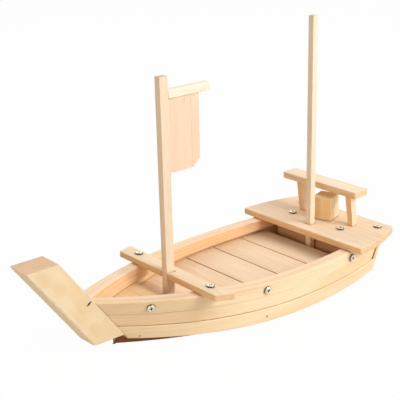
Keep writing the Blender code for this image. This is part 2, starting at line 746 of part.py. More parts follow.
def make_bench(frame):
    """Bar on two tenoned legs; returns the mortises to cut in the deck."""
    deck_top = STERN_DECK_THICKNESS
    bar_low = deck_top + GAP + LEG_LENGTH + GAP
    start = BENCH_OFFSET - BENCH_LENGTH / 2
    bar_mesh = box_mesh(
        (BENCH_FRONT, start, bar_low),
        (BENCH_FRONT + BENCH_WIDTH, start + BENCH_LENGTH, bar_low + BENCH_THICKNESS),
    )
    bar = add_object("bench_bar", bar_mesh, PALE_PINE, frame)
    in_deck = []
    in_bar = []
    leg_low = deck_top + GAP
    leg_high = leg_low + LEG_LENGTH
    for side_name, side in SIDES.items():
        foot_y = side * LEG_SPACING / 2 + LEG_FOOT_SHIFT
        foot = (foot_y, LEG_FOOT_WIDTH / 2)
        top = (foot_y + LEG_LEAN, LEG_TOP_WIDTH / 2)

        def corners(end, inset):
            """Lowest and highest corner in plan at the foot or the top of this leg."""
            middle, half = end
            low = (LEG_FRONT + inset, middle - half + inset)
            return low, (LEG_FRONT + LEG_DEPTH - inset, middle + half - inset)

        rings = []
        levels = (
            (leg_low - TENON_LENGTH, foot, TENON_INSET), (leg_low, foot, TENON_INSET), (leg_low, foot, 0.0),
            (leg_high, top, 0.0), (leg_high, top, TENON_INSET), (leg_high + TENON_LENGTH, top, TENON_INSET),
        )
        for z, end, inset in levels:
            (x0, y0), (x1, y1) = corners(end, inset)
            rings.append([(x0, y0, z), (x1, y0, z), (x1, y1, z), (x0, y1, z)])
        add_object(f"bench_leg_{side_name}", loft_mesh(rings), PALE_PINE, frame)
        depth = TENON_LENGTH + GAP
        low, high = corners(foot, TENON_INSET - GAP)
        deck_mesh = box_mesh((*low, leg_low - depth), (*high, leg_high))
        in_deck.append(add_object(f"deck_mortise_{side_name}", deck_mesh, None, frame))
        low, high = corners(top, TENON_INSET - GAP)
        bar_cut_mesh = box_mesh((*low, leg_low), (*high, leg_high + depth))
        in_bar.append(add_object(f"bar_mortise_{side_name}", bar_cut_mesh, None, frame))
    cut(bar, in_bar)
    return in_deck


def make_block(frame):
    """Block that turns on one screw driven up through the deck; returns the hole to cut in the deck."""
    place = (BLOCK_ALONG, 0.0, STERN_DECK_THICKNESS + GAP)
    half = BLOCK_SIDE / 2
    block_mesh = box_mesh((-half, -half, 0.0), (half, half, BLOCK_HEIGHT))
    block = add_object("stern_block", block_mesh, DARK_PINE, frame, place, (0.0, 0.0, BLOCK_TURN))
    downward = axis_matrix((BLOCK_ALONG, 0.0, 0.0), (0.0, 0.0, -1.0))
    length = STERN_DECK_THICKNESS + GAP + PIVOT_SCREW_BITE
    screw("block_pivot_screw", downward, length, frame)
    tight = hole("pivot_hole_deck", downward, SCREW_SHANK_RADIUS + HOLE_PLAY, length + DRILL_EXTRA, frame)
    loose = hole("pivot_hole_block", downward, SCREW_SHANK_RADIUS + BLOCK_PLAY, length + DRILL_EXTRA, frame)
    cut(block, [loose])
    return [tight]


def make_stern_deck_screws(frame):
    """Bulkhead from the mast step up to the deck, two screws into it and two into the transom."""
    under = stern_deck_under_z
    bulkhead = hull_board(
        "stern_bulkhead", BULKHEAD_FRONT_X, BULKHEAD_FRONT_X + BULKHEAD_THICKNESS,
        lambda x: SLAT_BOTTOM_Z, lambda x: under(x) - GAP, SHADE_PINE, with_inwale=True, stations=2,
    )
    aft_x = transom_middle_x(under(stern_end(1.0)) - DECK_SCREW_BITE / 2)
    insets = {"port": PORT_AFT_SCREW_INSET, "starboard": STARBOARD_AFT_SCREW_INSET}
    holes = {"bulkhead": [], "transom": []}
    for side_name, side in SIDES.items():
        aft_y = STERN_HALF_BREADTH - insets[side_name]
        spots = (("front", "bulkhead", BULKHEAD_X, FRONT_DECK_SCREW_Y), ("aft", "transom", aft_x, aft_y))
        for end, into, x, y in spots:
            along = (x - STERN_DECK_FRONT_X) / math.cos(STERN_DECK_TILT)
            place = Matrix.Translation((along, side * y, STERN_DECK_THICKNESS))
            length = STERN_DECK_THICKNESS + DECK_SCREW_BITE
            screw(f"stern_deck_screw_{end}_{side_name}", place, length, frame)
            radius = SCREW_SHANK_RADIUS + HOLE_PLAY
            name = f"stern_deck_hole_{end}_{side_name}"
            holes[into].append(hole(name, place, radius, length + DRILL_EXTRA, frame))
    return holes, bulkhead


# Fasteners in the side of the hull

def face_point(x, share, low, high):
    """Point on the flat between two edges of a strake's outer face, starboard side."""
    part = (share - low) / (high - low)
    y = (1.0 - part) * outer_y(x, low) + part * outer_y(x, high)
    return Vector((x, y, edge_z(x, share)))


def side_place(x, share, low, high, side, depth):
    """Frame on a strake's outer face, pointing square out of it, this deep inside the hull's outline."""
    along = face_point(x + SLOPE_STEP, share, low, high) - face_point(x - SLOPE_STEP, share, low, high)
    up = face_point(x, high, low, high) - face_point(x, low, low, high)
    out = up.cross(along).normalized()
    point = face_point(x, share, low, high) - out * depth
    mirror = Vector((1.0, side, 1.0))
    return axis_matrix(point * mirror, out * mirror)


def make_side_fasteners(side_name, side):
    """Screws through the top strake into the inwale, nails through the lower one into the bottom board."""
    holes = {"top_strake": [], "inwale": [], "lower_strake": [], "bottom_board": []}
    share = (HIGH_SEAM + 1.0) / 2
    for number, x in enumerate((FORE_SIDE_SCREW_X, MIDDLE_SIDE_SCREW_X, AFT_SIDE_SCREW_X), 1):
        place = side_place(x, share, HIGH_SEAM, 1.0, side, 0.0)
        length = PLANK_THICKNESS + GAP + SIDE_SCREW_BITE
        screw(f"{side_name}_side_screw_{number}", place, length)
        name = f"{side_name}_side_hole_{number}"
        drill = hole(name, place, SCREW_SHANK_RADIUS + HOLE_PLAY, length + DRILL_EXTRA)
        holes["top_strake"].append(drill)
        holes["inwale"].append(drill)
    nail_spots = ((FORE_NAIL_X, FORE_NAIL_Z), (AFT_NAIL_X, AFT_NAIL_Z))
    for number, (x, z) in enumerate(nail_spots, 1):
        place = side_place(x, share_at(x, z), 0.0, LOW_SEAM, side, TOP_STRAKE_STEP)
        length = PLANK_THICKNESS - TOP_STRAKE_STEP + CURVE_GAP + NAIL_BITE
        nail(f"{side_name}_nail_{number}", place, length)
        drill = hole(f"{side_name}_nail_hole_{number}", place, NAIL_RADIUS + HOLE_PLAY, length + DRILL_EXTRA)
        holes["lower_strake"].append(drill)
        holes["bottom_board"].append(drill)
    return holes


def build():
    planking = make_planking()
    make_stem()
    transom = make_transom()
    bottom = make_bottom_board()
    make_serving_deck()
    mast_step("front_mast_step", FRONT_MAST_X, FRONT_MAST_SIZE)
    mast_step("stern_mast_step", STERN_MAST_X, STERN_MAST_SIZE)
    make_bow_deck()
    beam_holes = make_crossbeam()
    make_front_mast()
    make_stern_mast()
    make_stern_deck(transom)
    bottom_holes = []
    for side_name, side in SIDES.items():
        holes = make_side_fasteners(side_name, side)
        cut(planking[f"{side_name}_top_strake"], holes["top_strake"] + beam_holes[side_name])
        cut(planking[f"{side_name}_inwale"], holes["inwale"])
        cut(planking[f"{side_name}_lower_strake"], holes["lower_strake"])
        bottom_holes += holes["bottom_board"]
    cut(bottom, bottom_holes)


clear_scene()
PALE_PINE = material("pale_pine", (0.86, 0.66, 0.44), 0.55)
STEM_PINE = material("stem_pine", (0.76, 0.57, 0.36), 0.55)
PINK_PINE = material("pink_pine", (0.88, 0.64, 0.46), 0.60)
SHADE_PINE = material("shade_pine", (0.58, 0.39, 0.23), 0.65)
DARK_PINE = material("dark_pine", (0.62, 0.40, 0.22), 0.60)
STEEL = material("screw_steel", (0.62, 0.61, 0.60), 0.28, 1.0)
build()
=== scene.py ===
"""Looks of the wooden serving boat: bent pine planks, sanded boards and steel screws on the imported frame."""

import math
import random

import bmesh
import bpy
from mathutils import Matrix, Vector


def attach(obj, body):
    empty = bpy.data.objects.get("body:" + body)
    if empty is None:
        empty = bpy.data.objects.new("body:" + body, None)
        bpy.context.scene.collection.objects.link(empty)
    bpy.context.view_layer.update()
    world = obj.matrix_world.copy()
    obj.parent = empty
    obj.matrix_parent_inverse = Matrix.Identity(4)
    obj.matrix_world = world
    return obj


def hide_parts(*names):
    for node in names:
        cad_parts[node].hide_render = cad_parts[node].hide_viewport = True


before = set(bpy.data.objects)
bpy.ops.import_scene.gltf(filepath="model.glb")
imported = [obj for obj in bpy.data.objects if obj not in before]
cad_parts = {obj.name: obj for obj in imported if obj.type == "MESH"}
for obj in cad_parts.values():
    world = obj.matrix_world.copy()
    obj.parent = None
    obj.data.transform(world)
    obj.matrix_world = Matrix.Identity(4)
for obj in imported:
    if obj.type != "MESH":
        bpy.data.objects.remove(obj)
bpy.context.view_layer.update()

# Sizes in metres, the same as in the part's source.
GAP = 0.0003
CURVE_GAP = 0.0006
MAST_PLAY = 0.0006
DECK_HOLE_PLAY = 0.0014

STEM_SIDE = 0.0330
STEM_RAKE = math.radians(35.5)
STEM_TABLE_X = -0.1213
STEM_FOOT_Z = 0.0144
STEM_FOOT_RISE = 0.0004
STEM_FOOT_SKEW = 0.0015
STEM_TOP_Z = 0.1237

PLANK_THICKNESS = 0.0080
LOWER_STRAKE_HEIGHT = 0.0175
MIDDLE_STRAKE_HEIGHT = 0.0164
TOP_STRAKE_HEIGHT = 0.0170
TOP_STRAKE_STEP = 0.0008
STRAKE_LIFT = 0.0006
HALF_BEAM = 0.0905
WIDEST_X = 0.0940
SIDE_FLARE = 0.0030
BOW_FULLNESS = 2.1
STERN_FULLNESS = 2.2
STERN_HALF_BREADTH = 0.0800
BOW_SHEER_RISE = 0.0150
SHEER_LOW_X = 0.1190
SHEER_FULLNESS = 2.1
BOW_ROCKER = 0.0088
STERN_ROCKER = 0.0066
ROCKER_LOW_X = 0.1040
BOW_ROCKER_FULLNESS = 2.6
STERN_ROCKER_FULLNESS = 2.2

INWALE_THICKNESS = 0.0080
INWALE_HEIGHT = 0.0145

TRANSOM_FOOT_BEHIND = 0.0365
TRANSOM_RAKE = math.radians(30.0)
TRANSOM_THICKNESS = 0.0085
TRANSOM_INSET = 0.0010

BOTTOM_THICKNESS = 0.0135
BOTTOM_TIP_X = -0.1375
SLAT_TOP_Z = 0.0317
SLAT_THICKNESS = 0.0075
SLAT_WIDTH = 0.0475
SLAT_GAP = 0.0015
FIRST_SLAT_SEAM_X = -0.0140
SLAT_MAST_CLEARANCE = 0.0030

BOW_DECK_AFT_X = -0.0730
BOW_DECK_LENGTH = 0.0680
BOW_DECK_THICKNESS = 0.0060

BEAM_FRONT_X = -0.0610
BEAM_WIDTH = 0.0223
BEAM_THICKNESS = 0.0075
BEAM_FRONT_HALF_LENGTH = 0.0883
BEAM_AFT_HALF_LENGTH = 0.0966

FRONT_MAST_LENGTH = 0.0116
FRONT_MAST_WIDTH = 0.0092
STERN_MAST_SIDE = 0.0085
FRONT_MAST_TOP_Z = 0.2944
STERN_MAST_BEHIND = 0.02095
STERN_MAST_TOP_Z = 0.3331
YARD_HEIGHT = 0.0100
YARD_WIDTH = 0.0085
YARD_LENGTH = 0.0609
YARD_TOP_Z = 0.2788
SAIL_LENGTH = 0.0454
SAIL_HEIGHT = 0.0858
SAIL_THICKNESS = 0.0040
SAIL_CORNER_CUT = 0.0100

STERN_DECK_FRONT_X = 0.1637
STERN_DECK_LENGTH = 0.0863
STERN_DECK_THICKNESS = 0.0086
STERN_DECK_TILT = math.radians(1.4)
STERN_DECK_FRONT_HALF = 0.1046
STERN_DECK_AFT_HALF = 0.0848
STERN_DECK_CORNER = 0.0060

LEG_SETBACK = 0.0015
LEG_DEPTH = 0.0092
LEG_FOOT_WIDTH = 0.0084
LEG_TOP_WIDTH = 0.0098
LEG_FOOT_SHIFT = -0.0014
LEG_LEAN = 0.0042
LEG_SPACING = 0.0863
LEG_LENGTH = 0.0385
BENCH_AHEAD = 0.0040
BENCH_WIDTH = 0.0242
BENCH_LENGTH = 0.1284
BENCH_THICKNESS = 0.0089
BENCH_OFFSET = 0.0108

BLOCK_SIDE = 0.0260
BLOCK_HEIGHT = 0.0315
BLOCK_CLEARANCE = 0.0079
BLOCK_TURN = math.radians(17.0)

SCREW_HEAD_RADIUS = 0.0047
SCREW_HEAD_HEIGHT = 0.0027
SCREW_SHANK_RADIUS = 0.0019
RECESS_WIDTH = 0.0012
RECESS_LENGTH = 0.0050
RECESS_DEPTH = 0.0014
BEAM_SCREW_ALONG = 0.0130
DECK_SCREW_BITE = 0.0080
BULKHEAD_THICKNESS = 0.0100
BULKHEAD_CLEARANCE = 0.0012
FRONT_DECK_SCREW_Y = 0.0426
AFT_SCREW_INSETS = {"port": 0.0071, "starboard": 0.0191}
SIDE_SCREW_X = (-0.1140, 0.0225, 0.1665)
NAIL_HEAD_RADIUS = 0.0013
NAIL_HEAD_HEIGHT = 0.0005
NAIL_SPOTS = ((-0.1180, 0.0116), (0.0252, 0.0085))

SLOPE_STEP = 0.001
MEET_STEPS = 30
SHORTEST_SLAT = 0.25            # share of the slats' pitch
SIDES = {"port": -1.0, "starboard": 1.0}

SIDE_HEIGHT = LOWER_STRAKE_HEIGHT + MIDDLE_STRAKE_HEIGHT + TOP_STRAKE_HEIGHT
LOW_SEAM = LOWER_STRAKE_HEIGHT / SIDE_HEIGHT
HIGH_SEAM = (LOWER_STRAKE_HEIGHT + MIDDLE_STRAKE_HEIGHT) / SIDE_HEIGHT
INWALE_EDGE = 1.0 - INWALE_HEIGHT / SIDE_HEIGHT
DECK_SLOPE = math.tan(STERN_DECK_TILT)
FRONT_MAST_X = BEAM_FRONT_X + FRONT_MAST_LENGTH / 2
BEAM_AFT_X = BEAM_FRONT_X + BEAM_WIDTH
SLAT_BOTTOM_Z = SLAT_TOP_Z - SLAT_THICKNESS
MAST_FOOT_Z = BOTTOM_THICKNESS + GAP
TRANSOM_FOOT_X = STERN_DECK_FRONT_X + TRANSOM_FOOT_BEHIND
TRANSOM_FRONT = GAP / math.cos(TRANSOM_RAKE)
TRANSOM_AFT = (GAP + TRANSOM_THICKNESS) / math.cos(TRANSOM_RAKE)
STERN_MAST_X = STERN_DECK_FRONT_X + STERN_MAST_BEHIND
BULKHEAD_FRONT_X = STERN_MAST_X + STERN_MAST_SIDE / 2 + DECK_HOLE_PLAY + BULKHEAD_CLEARANCE
BULKHEAD_X = BULKHEAD_FRONT_X + BULKHEAD_THICKNESS / 2
MAST_ALONG = STERN_MAST_BEHIND / math.cos(STERN_DECK_TILT)
BLOCK_ALONG = MAST_ALONG + STERN_MAST_SIDE / 2 + BLOCK_CLEARANCE + BLOCK_SIDE / math.sqrt(2.0)
BENCH_FRONT = BLOCK_ALONG - BENCH_AHEAD
LEG_FRONT = BENCH_FRONT + LEG_SETBACK

# Edges sanded round, and how finely the curves are cut.
STEM_ROUND = 0.0030
GUNWALE_ROUND = 0.0026
BOARD_ROUND = 0.0010
DECK_ROUND = 0.0016
SEAM_ROUND = 0.0007
LOW_SEAM_ROUND = 0.0017
SAIL_ROUND = 0.0004
JOINT_ROUND = 0.0002
JOINT_GAP = 0.0002              # shown between the planks and the stem
STERN_JOINT_GAP = 0.0024        # shown between the upper planks and the transom
LOW_SEAM_GAP = 0.0005           # shown between the lower and the middle strake
ROUND_STEPS = 3
ROUND_MOST = 0.45               # share of a plank's section that a rounded corner may take
SHARP_ANGLE = math.radians(28.0)
WELD_DISTANCE = 0.00002
PLANK_STATIONS = 84
BOARD_STATIONS = 18
DECK_STATIONS = 24
CORNER_STEPS = 8
SAIL_SEAM = 0.0334              # the sail is glued up from two boards, this far from the mast
STEM_GAP_PLACE = (-0.1768, -STEM_SIDE / 2, 0.0684)    # open end of the rabbet beside the gunwale
STEM_LAP_PLACE = (-0.1718, -STEM_SIDE / 2, 0.0660)    # gunwale let into the stem
# Blotches on the stem's port face: height, share of its depth from the aft edge, tone
STEM_BLOTCHES = (
    (0.112, 0.72, (224, 194, 148)), (0.108, 0.30, (242, 221, 190)), (0.096, 0.55, (226, 195, 146)),
    (0.088, 0.22, (238, 206, 150)), (0.078, 0.70, (240, 222, 192)), (0.068, 0.40, (224, 194, 150)),
    (0.056, 0.66, (228, 198, 152)), (0.048, 0.30, (242, 222, 188)), (0.036, 0.58, (224, 192, 146)),
)
STEM_BLOTCH_SIZE = (0.0120, 0.0055, 0.0080)
SAIL_KNOT_PLACE = (-0.0255, -SAIL_THICKNESS / 2, 0.2631)

X = Vector((1.0, 0.0, 0.0))
Y = Vector((0.0, 1.0, 0.0))
Z = Vector((0.0, 0.0, 1.0))


# Hull form

def stem_aft_x(z):
    return STEM_TABLE_X - z * math.tan(STEM_RAKE)


def plank_end_x(z):
    return TRANSOM_FOOT_X + z * math.tan(TRANSOM_RAKE)


def sheer_z(x):
    """Height of the gunwale: it rises to the bow, and under the stern deck it follows the deck."""
    bow_run = SHEER_LOW_X - stem_aft_x(STEM_FOOT_Z + SIDE_HEIGHT)
    forward = max(0.0, SHEER_LOW_X - x) / bow_run
    aft = max(0.0, x - STERN_DECK_FRONT_X)
    return STRAKE_LIFT + SIDE_HEIGHT + BOW_SHEER_RISE * forward ** SHEER_FULLNESS + aft * DECK_SLOPE


def keel_z(x):
    """Height of the planking's lower edge, which rises to both ends."""
    forward = max(0.0, ROCKER_LOW_X - x) / (ROCKER_LOW_X - stem_aft_x(STEM_FOOT_Z))
    aft = max(0.0, x - ROCKER_LOW_X) / (TRANSOM_FOOT_X - ROCKER_LOW_X)
    bow = BOW_ROCKER * forward ** BOW_ROCKER_FULLNESS
    stern = STERN_ROCKER * aft ** STERN_ROCKER_FULLNESS
    return STRAKE_LIFT + bow + stern


def edge_z(x, share):
    """Height at a share of the side, 0 at its lower edge and 1 at the sheer."""
    return keel_z(x) + share * (sheer_z(x) - keel_z(x))


def share_at(x, z):
    return (z - keel_z(x)) / (sheer_z(x) - keel_z(x))


def meet(end_x, share):
    """Where the line at this share of the side reaches the stem or the transom."""
    x = end_x(STEM_FOOT_Z)
    for _ in range(MEET_STEPS):
        x = end_x(edge_z(x, share))
    return x


def bow_end(share):
    return meet(stem_aft_x, share) + JOINT_GAP / math.cos(STEM_RAKE)


def stern_end(share, behind=0.0):
    """Where the line at this share meets the plane of the planks' ends, or one this far behind it."""
    return meet(lambda z: plank_end_x(z) + behind, share)


def outer_y(x, share):
    """Half-breadth of the planking's outer face."""
    narrower = SIDE_FLARE * (1.0 - share)
    widest = HALF_BEAM - narrower
    if x < WIDEST_X:
        along = (WIDEST_X - x) / (WIDEST_X - bow_end(share))
        return widest - (widest - STEM_SIDE / 2) * along ** BOW_FULLNESS
    along = (x - WIDEST_X) / (stern_end(1.0) - WIDEST_X)
    return widest - (widest - STERN_HALF_BREADTH) * along ** STERN_FULLNESS


def slope_at(curve, x):
    return (curve(x + SLOPE_STEP) - curve(x - SLOPE_STEP)) / (2 * SLOPE_STEP)


def outward(x, share):
    """Unit vector in plan, square to the outer face on the starboard side."""
    slope = slope_at(lambda place: outer_y(place, share), x)
    return Vector((-slope, 1.0, 0.0)).normalized()


def inset_y(x, share, depth):
    """Half-breadth of a face that lies this deep inside the outer face."""
    return outer_y(x, share) - depth / outward(x, share).y


def inside_y(x, z):
    """Clear half-breadth inside the planking at a point."""
    return inset_y(x, max(0.0, share_at(x, z)), PLANK_THICKNESS + CURVE_GAP)


def stern_deck_under_z(x):
    return sheer_z(STERN_DECK_FRONT_X) + GAP + (x - STERN_DECK_FRONT_X) * DECK_SLOPE


def beam_frame():
    """Frame of the crossbeam, which lies on the slope of the gunwale."""
    tilt = math.atan((sheer_z(BEAM_FRONT_X) - sheer_z(BEAM_AFT_X)) / BEAM_WIDTH)
    seat = (BEAM_FRONT_X, 0.0, sheer_z(BEAM_FRONT_X) + GAP / math.cos(tilt))
    return Matrix.Translation(seat) @ Matrix.Rotation(tilt, 4, "Y"), tilt


BEAM_FRAME, BEAM_TILT = beam_frame()
DECK_ORIGIN = (STERN_DECK_FRONT_X, 0.0, stern_deck_under_z(STERN_DECK_FRONT_X))
DECK_FRAME = Matrix.Translation(DECK_ORIGIN) @ Matrix.Rotation(-STERN_DECK_TILT, 4, "Y")


# Node materials

class Graph:
    """Adds nodes to a tree and links each one as it is made."""

    def __init__(self, tree):
        self.tree = tree

    def put(self, socket, value):
        """Links a socket to another one, or sets its own value."""
        if isinstance(value, bpy.types.NodeSocket):
            self.tree.links.new(value, socket)
        else:
            socket.default_value = value

    def add(self, kind, inputs=None, **settings):
        node = self.tree.nodes.new(kind)
        for key, value in settings.items():
            setattr(node, key, value)
        for key, value in (inputs or {}).items():
            self.put(node.inputs[key], value)
        return node

    def math(self, operation, first, second=0.0, third=0.0):
        values = {0: first, 1: second, 2: third}
        return self.add("ShaderNodeMath", values, operation=operation).outputs[0]

    def vector(self, operation, first, second=(0.0, 0.0, 0.0)):
        """Vector maths; a length or a dot product comes back as a number."""
        node = self.add("ShaderNodeVectorMath", {0: first, 1: second}, operation=operation)
        return node.outputs["Value" if operation in ("LENGTH", "DOT_PRODUCT") else "Vector"]

    def stretch(self, vector, scale):
        return self.vector("MULTIPLY", vector, scale)

    def attribute(self, name, output="Fac"):
        return self.add("ShaderNodeAttribute", attribute_name=name).outputs[output]

    def spread(self, value, low, high, to_low=0.0, to_high=1.0):
        """Maps a value from one range to another, smoothly and without passing its ends."""
        inputs = {"Value": value, 1: low, 2: high, 3: to_low, 4: to_high}
        return self.add("ShaderNodeMapRange", inputs, interpolation_type="SMOOTHSTEP").outputs[0]

    def noise(self, vector, scale, detail=2.0, roughness=0.5, output="Fac"):
        """Noise on coordinates stretched by a scale for each axis."""
        stretched = self.stretch(vector, scale)
        inputs = {"Vector": stretched, "Scale": 1.0, "Detail": detail, "Roughness": roughness}
        return self.add("ShaderNodeTexNoise", inputs).outputs[output]

    def line_noise(self, place, scale, detail):
        """Noise along a single number."""
        inputs = {"W": place, "Scale": scale, "Detail": detail}
        return self.add("ShaderNodeTexNoise", inputs, noise_dimensions="1D").outputs["Fac"]

    def blend(self, share, first, second, kind="MIX"):
        """Mixes two colours by a share."""
        node = self.add("ShaderNodeMix", data_type="RGBA", blend_type=kind)
        ends = [socket for socket in node.inputs if socket.type == "RGBA"]
        for socket, value in zip([node.inputs[0], *ends], (share, first, second)):
            self.put(socket, value)
        return [socket for socket in node.outputs if socket.type == "RGBA"][0]

    def ramp(self, value, stops):
        """Grey ramp through (place, level) stops."""
        node = self.add("ShaderNodeValToRGB", {"Fac": value})
        elements = node.color_ramp.elements
        elements[0].position = stops[0][0]
        elements[-1].position = stops[-1][0]
        for place, _ in stops[1:-1]:
            elements.new(place)
        for element, (_, level) in zip(elements, stops):
            element.color = (level, level, level, 1.0)
        return node.outputs["Color"]

    def surface(self, shader, colour, rough, height, strength, distance):
        """Gives a shader its colour, roughness and bump."""
        bump = self.add("ShaderNodeBump", {"Height": height, "Strength": strength, "Distance": distance})
        self.put(shader.inputs["Base Color"], colour)
        self.put(shader.inputs["Roughness"], rough)
        self.put(shader.inputs["Normal"], bump.outputs[0])


def linear(colour):
    """Display colour in 0 to 255 as a linear RGBA value."""
    shares = [value / 255.0 for value in colour]
    made = [share / 12.92 if share <= 0.04045 else ((share + 0.055) / 1.055) ** 2.4 for share in shares]
    return (*made, 1.0)


def new_material(name):
    """Node material, the graph that fills it and its shader."""
    made = bpy.data.materials.new(name)
    made.use_nodes = True
    return made, Graph(made.node_tree), made.node_tree.nodes["Principled BSDF"]


PINE_SOCKETS = (
    ("INPUT", "Vector", ("Grain",)), ("INPUT", "Float", ("End", "SideShade", "WearSheen", "Rings", "Figure")),
    ("INPUT", "Color", ("Early", "Late", "Cut")), ("OUTPUT", "Color", ("Color",)),
    ("OUTPUT", "Float", ("Roughness", "Height")),
)
# Noise in the wood: its scale along the grain and across it, detail, roughness
PINE_NOISE = {
    "ripple": (22.0, 130.0, 3.0, 0.50), "patch": (7.0, 26.0, 2.0, 0.50), "fibre": (42.0, 1500.0, 3.0, 0.62),
    "streak": (9.0, 260.0, 2.0, 0.55), "blotch": (8.0, 30.0, 2.0, 0.50), "warm": (4.0, 55.0, 1.0, 0.50),
    "fleck": (95.0, 2300.0, 1.0, 0.50), "rub": (160.0, 420.0, 2.0, 0.50),
}
# What the noise does: its name, its low and high value, and the share or tone that each becomes
PINE_EFFECTS = {
    "patch": ("patch", 0.30, 0.70, 0.35, 1.0), "fibre_tone": ("fibre", 0.28, 0.72, 0.925, 1.045),
    "streak_tone": ("streak", 0.25, 0.75, 0.945, 1.035), "blotch_tone": ("blotch", 0.25, 0.75, 0.955, 1.030),
    "warm": ("warm", 0.52, 0.78, 0.0, 0.38), "fleck": ("fleck", 0.70, 0.80, 0.0, 0.45),
    "side_shade_streak": ("streak", 0.34, 0.66, 0.45, 1.0), "end_speck": ("fibre", 0.35, 0.68, 0.90, 1.04),
    "rub": ("rub", 0.38, 0.62, 0.10, 0.60),
}
BEND_SCALE, BEND_DETAIL = (5.0, 9.0, 9.0), 1.0
BEND_REACH = (0.0, 0.030, 0.030)
RIPPLE_REACH = 0.0018
RING_WIDTH = 0.0031
YEAR_SCALE = 0.45               # slow change from year to year, in rings
YEAR_CHANGE = 1.3
RING_STOPS = ((0.0, 0.18), (0.10, 0.0), (0.50, 0.10), (0.84, 0.85), (0.93, 1.0), (1.0, 0.18))
# Painted shade on faces by their direction: how the share maps to the tint
SIDE_SHADE_RANGE = (0.30, 0.80)
END_RANGE = (0.40, 0.75)
# Rubbed edges, partly wear and partly a painted highlight: radius and samples of the edge finder, and its
# range
WEAR_SHEEN_EDGE, WEAR_SHEEN_SAMPLES = 0.0011, 4
WEAR_SHEEN_RANGE = (0.995, 0.90)
# Painted shade in corners: reach and samples of the ambient occlusion, and how it maps to a share
CORNER_SHADE_REACH, CORNER_SHADE_SAMPLES = 0.005, 6
CORNER_SHADE_RANGE = (0.15, 0.75, 0.42, 0.0)
WARM_TONE = (232, 190, 146)
FLECK_TONE = (168, 118, 74)
# Paler tone of the rubbed edges, partly a painted highlight
WEAR_SHEEN_TONE = (252, 234, 206)
# Tone of the painted shade in corners
CORNER_SHADE_TONE = (176, 118, 70)
# Tint of the painted side shade
SIDE_SHADE_TINT = (0.91, 0.73, 0.47)
CUT_TINT = (0.93, 0.82, 0.70, 1.0)
PINK_CUT_TINT = (0.99, 0.87, 0.87, 1.0)
PINE_ROUGH, LATE_ROUGH, FIBRE_ROUGH, END_ROUGH = 0.60, -0.07, 0.14, 0.14
LATE_HEIGHT, FIBRE_HEIGHT, STREAK_HEIGHT = 0.30, 0.55, 0.35
PINE_BUMP, PINE_BUMP_DEPTH = 0.35, 0.0003
PINE_IOR, PINE_SPECULAR = 1.45, 0.30


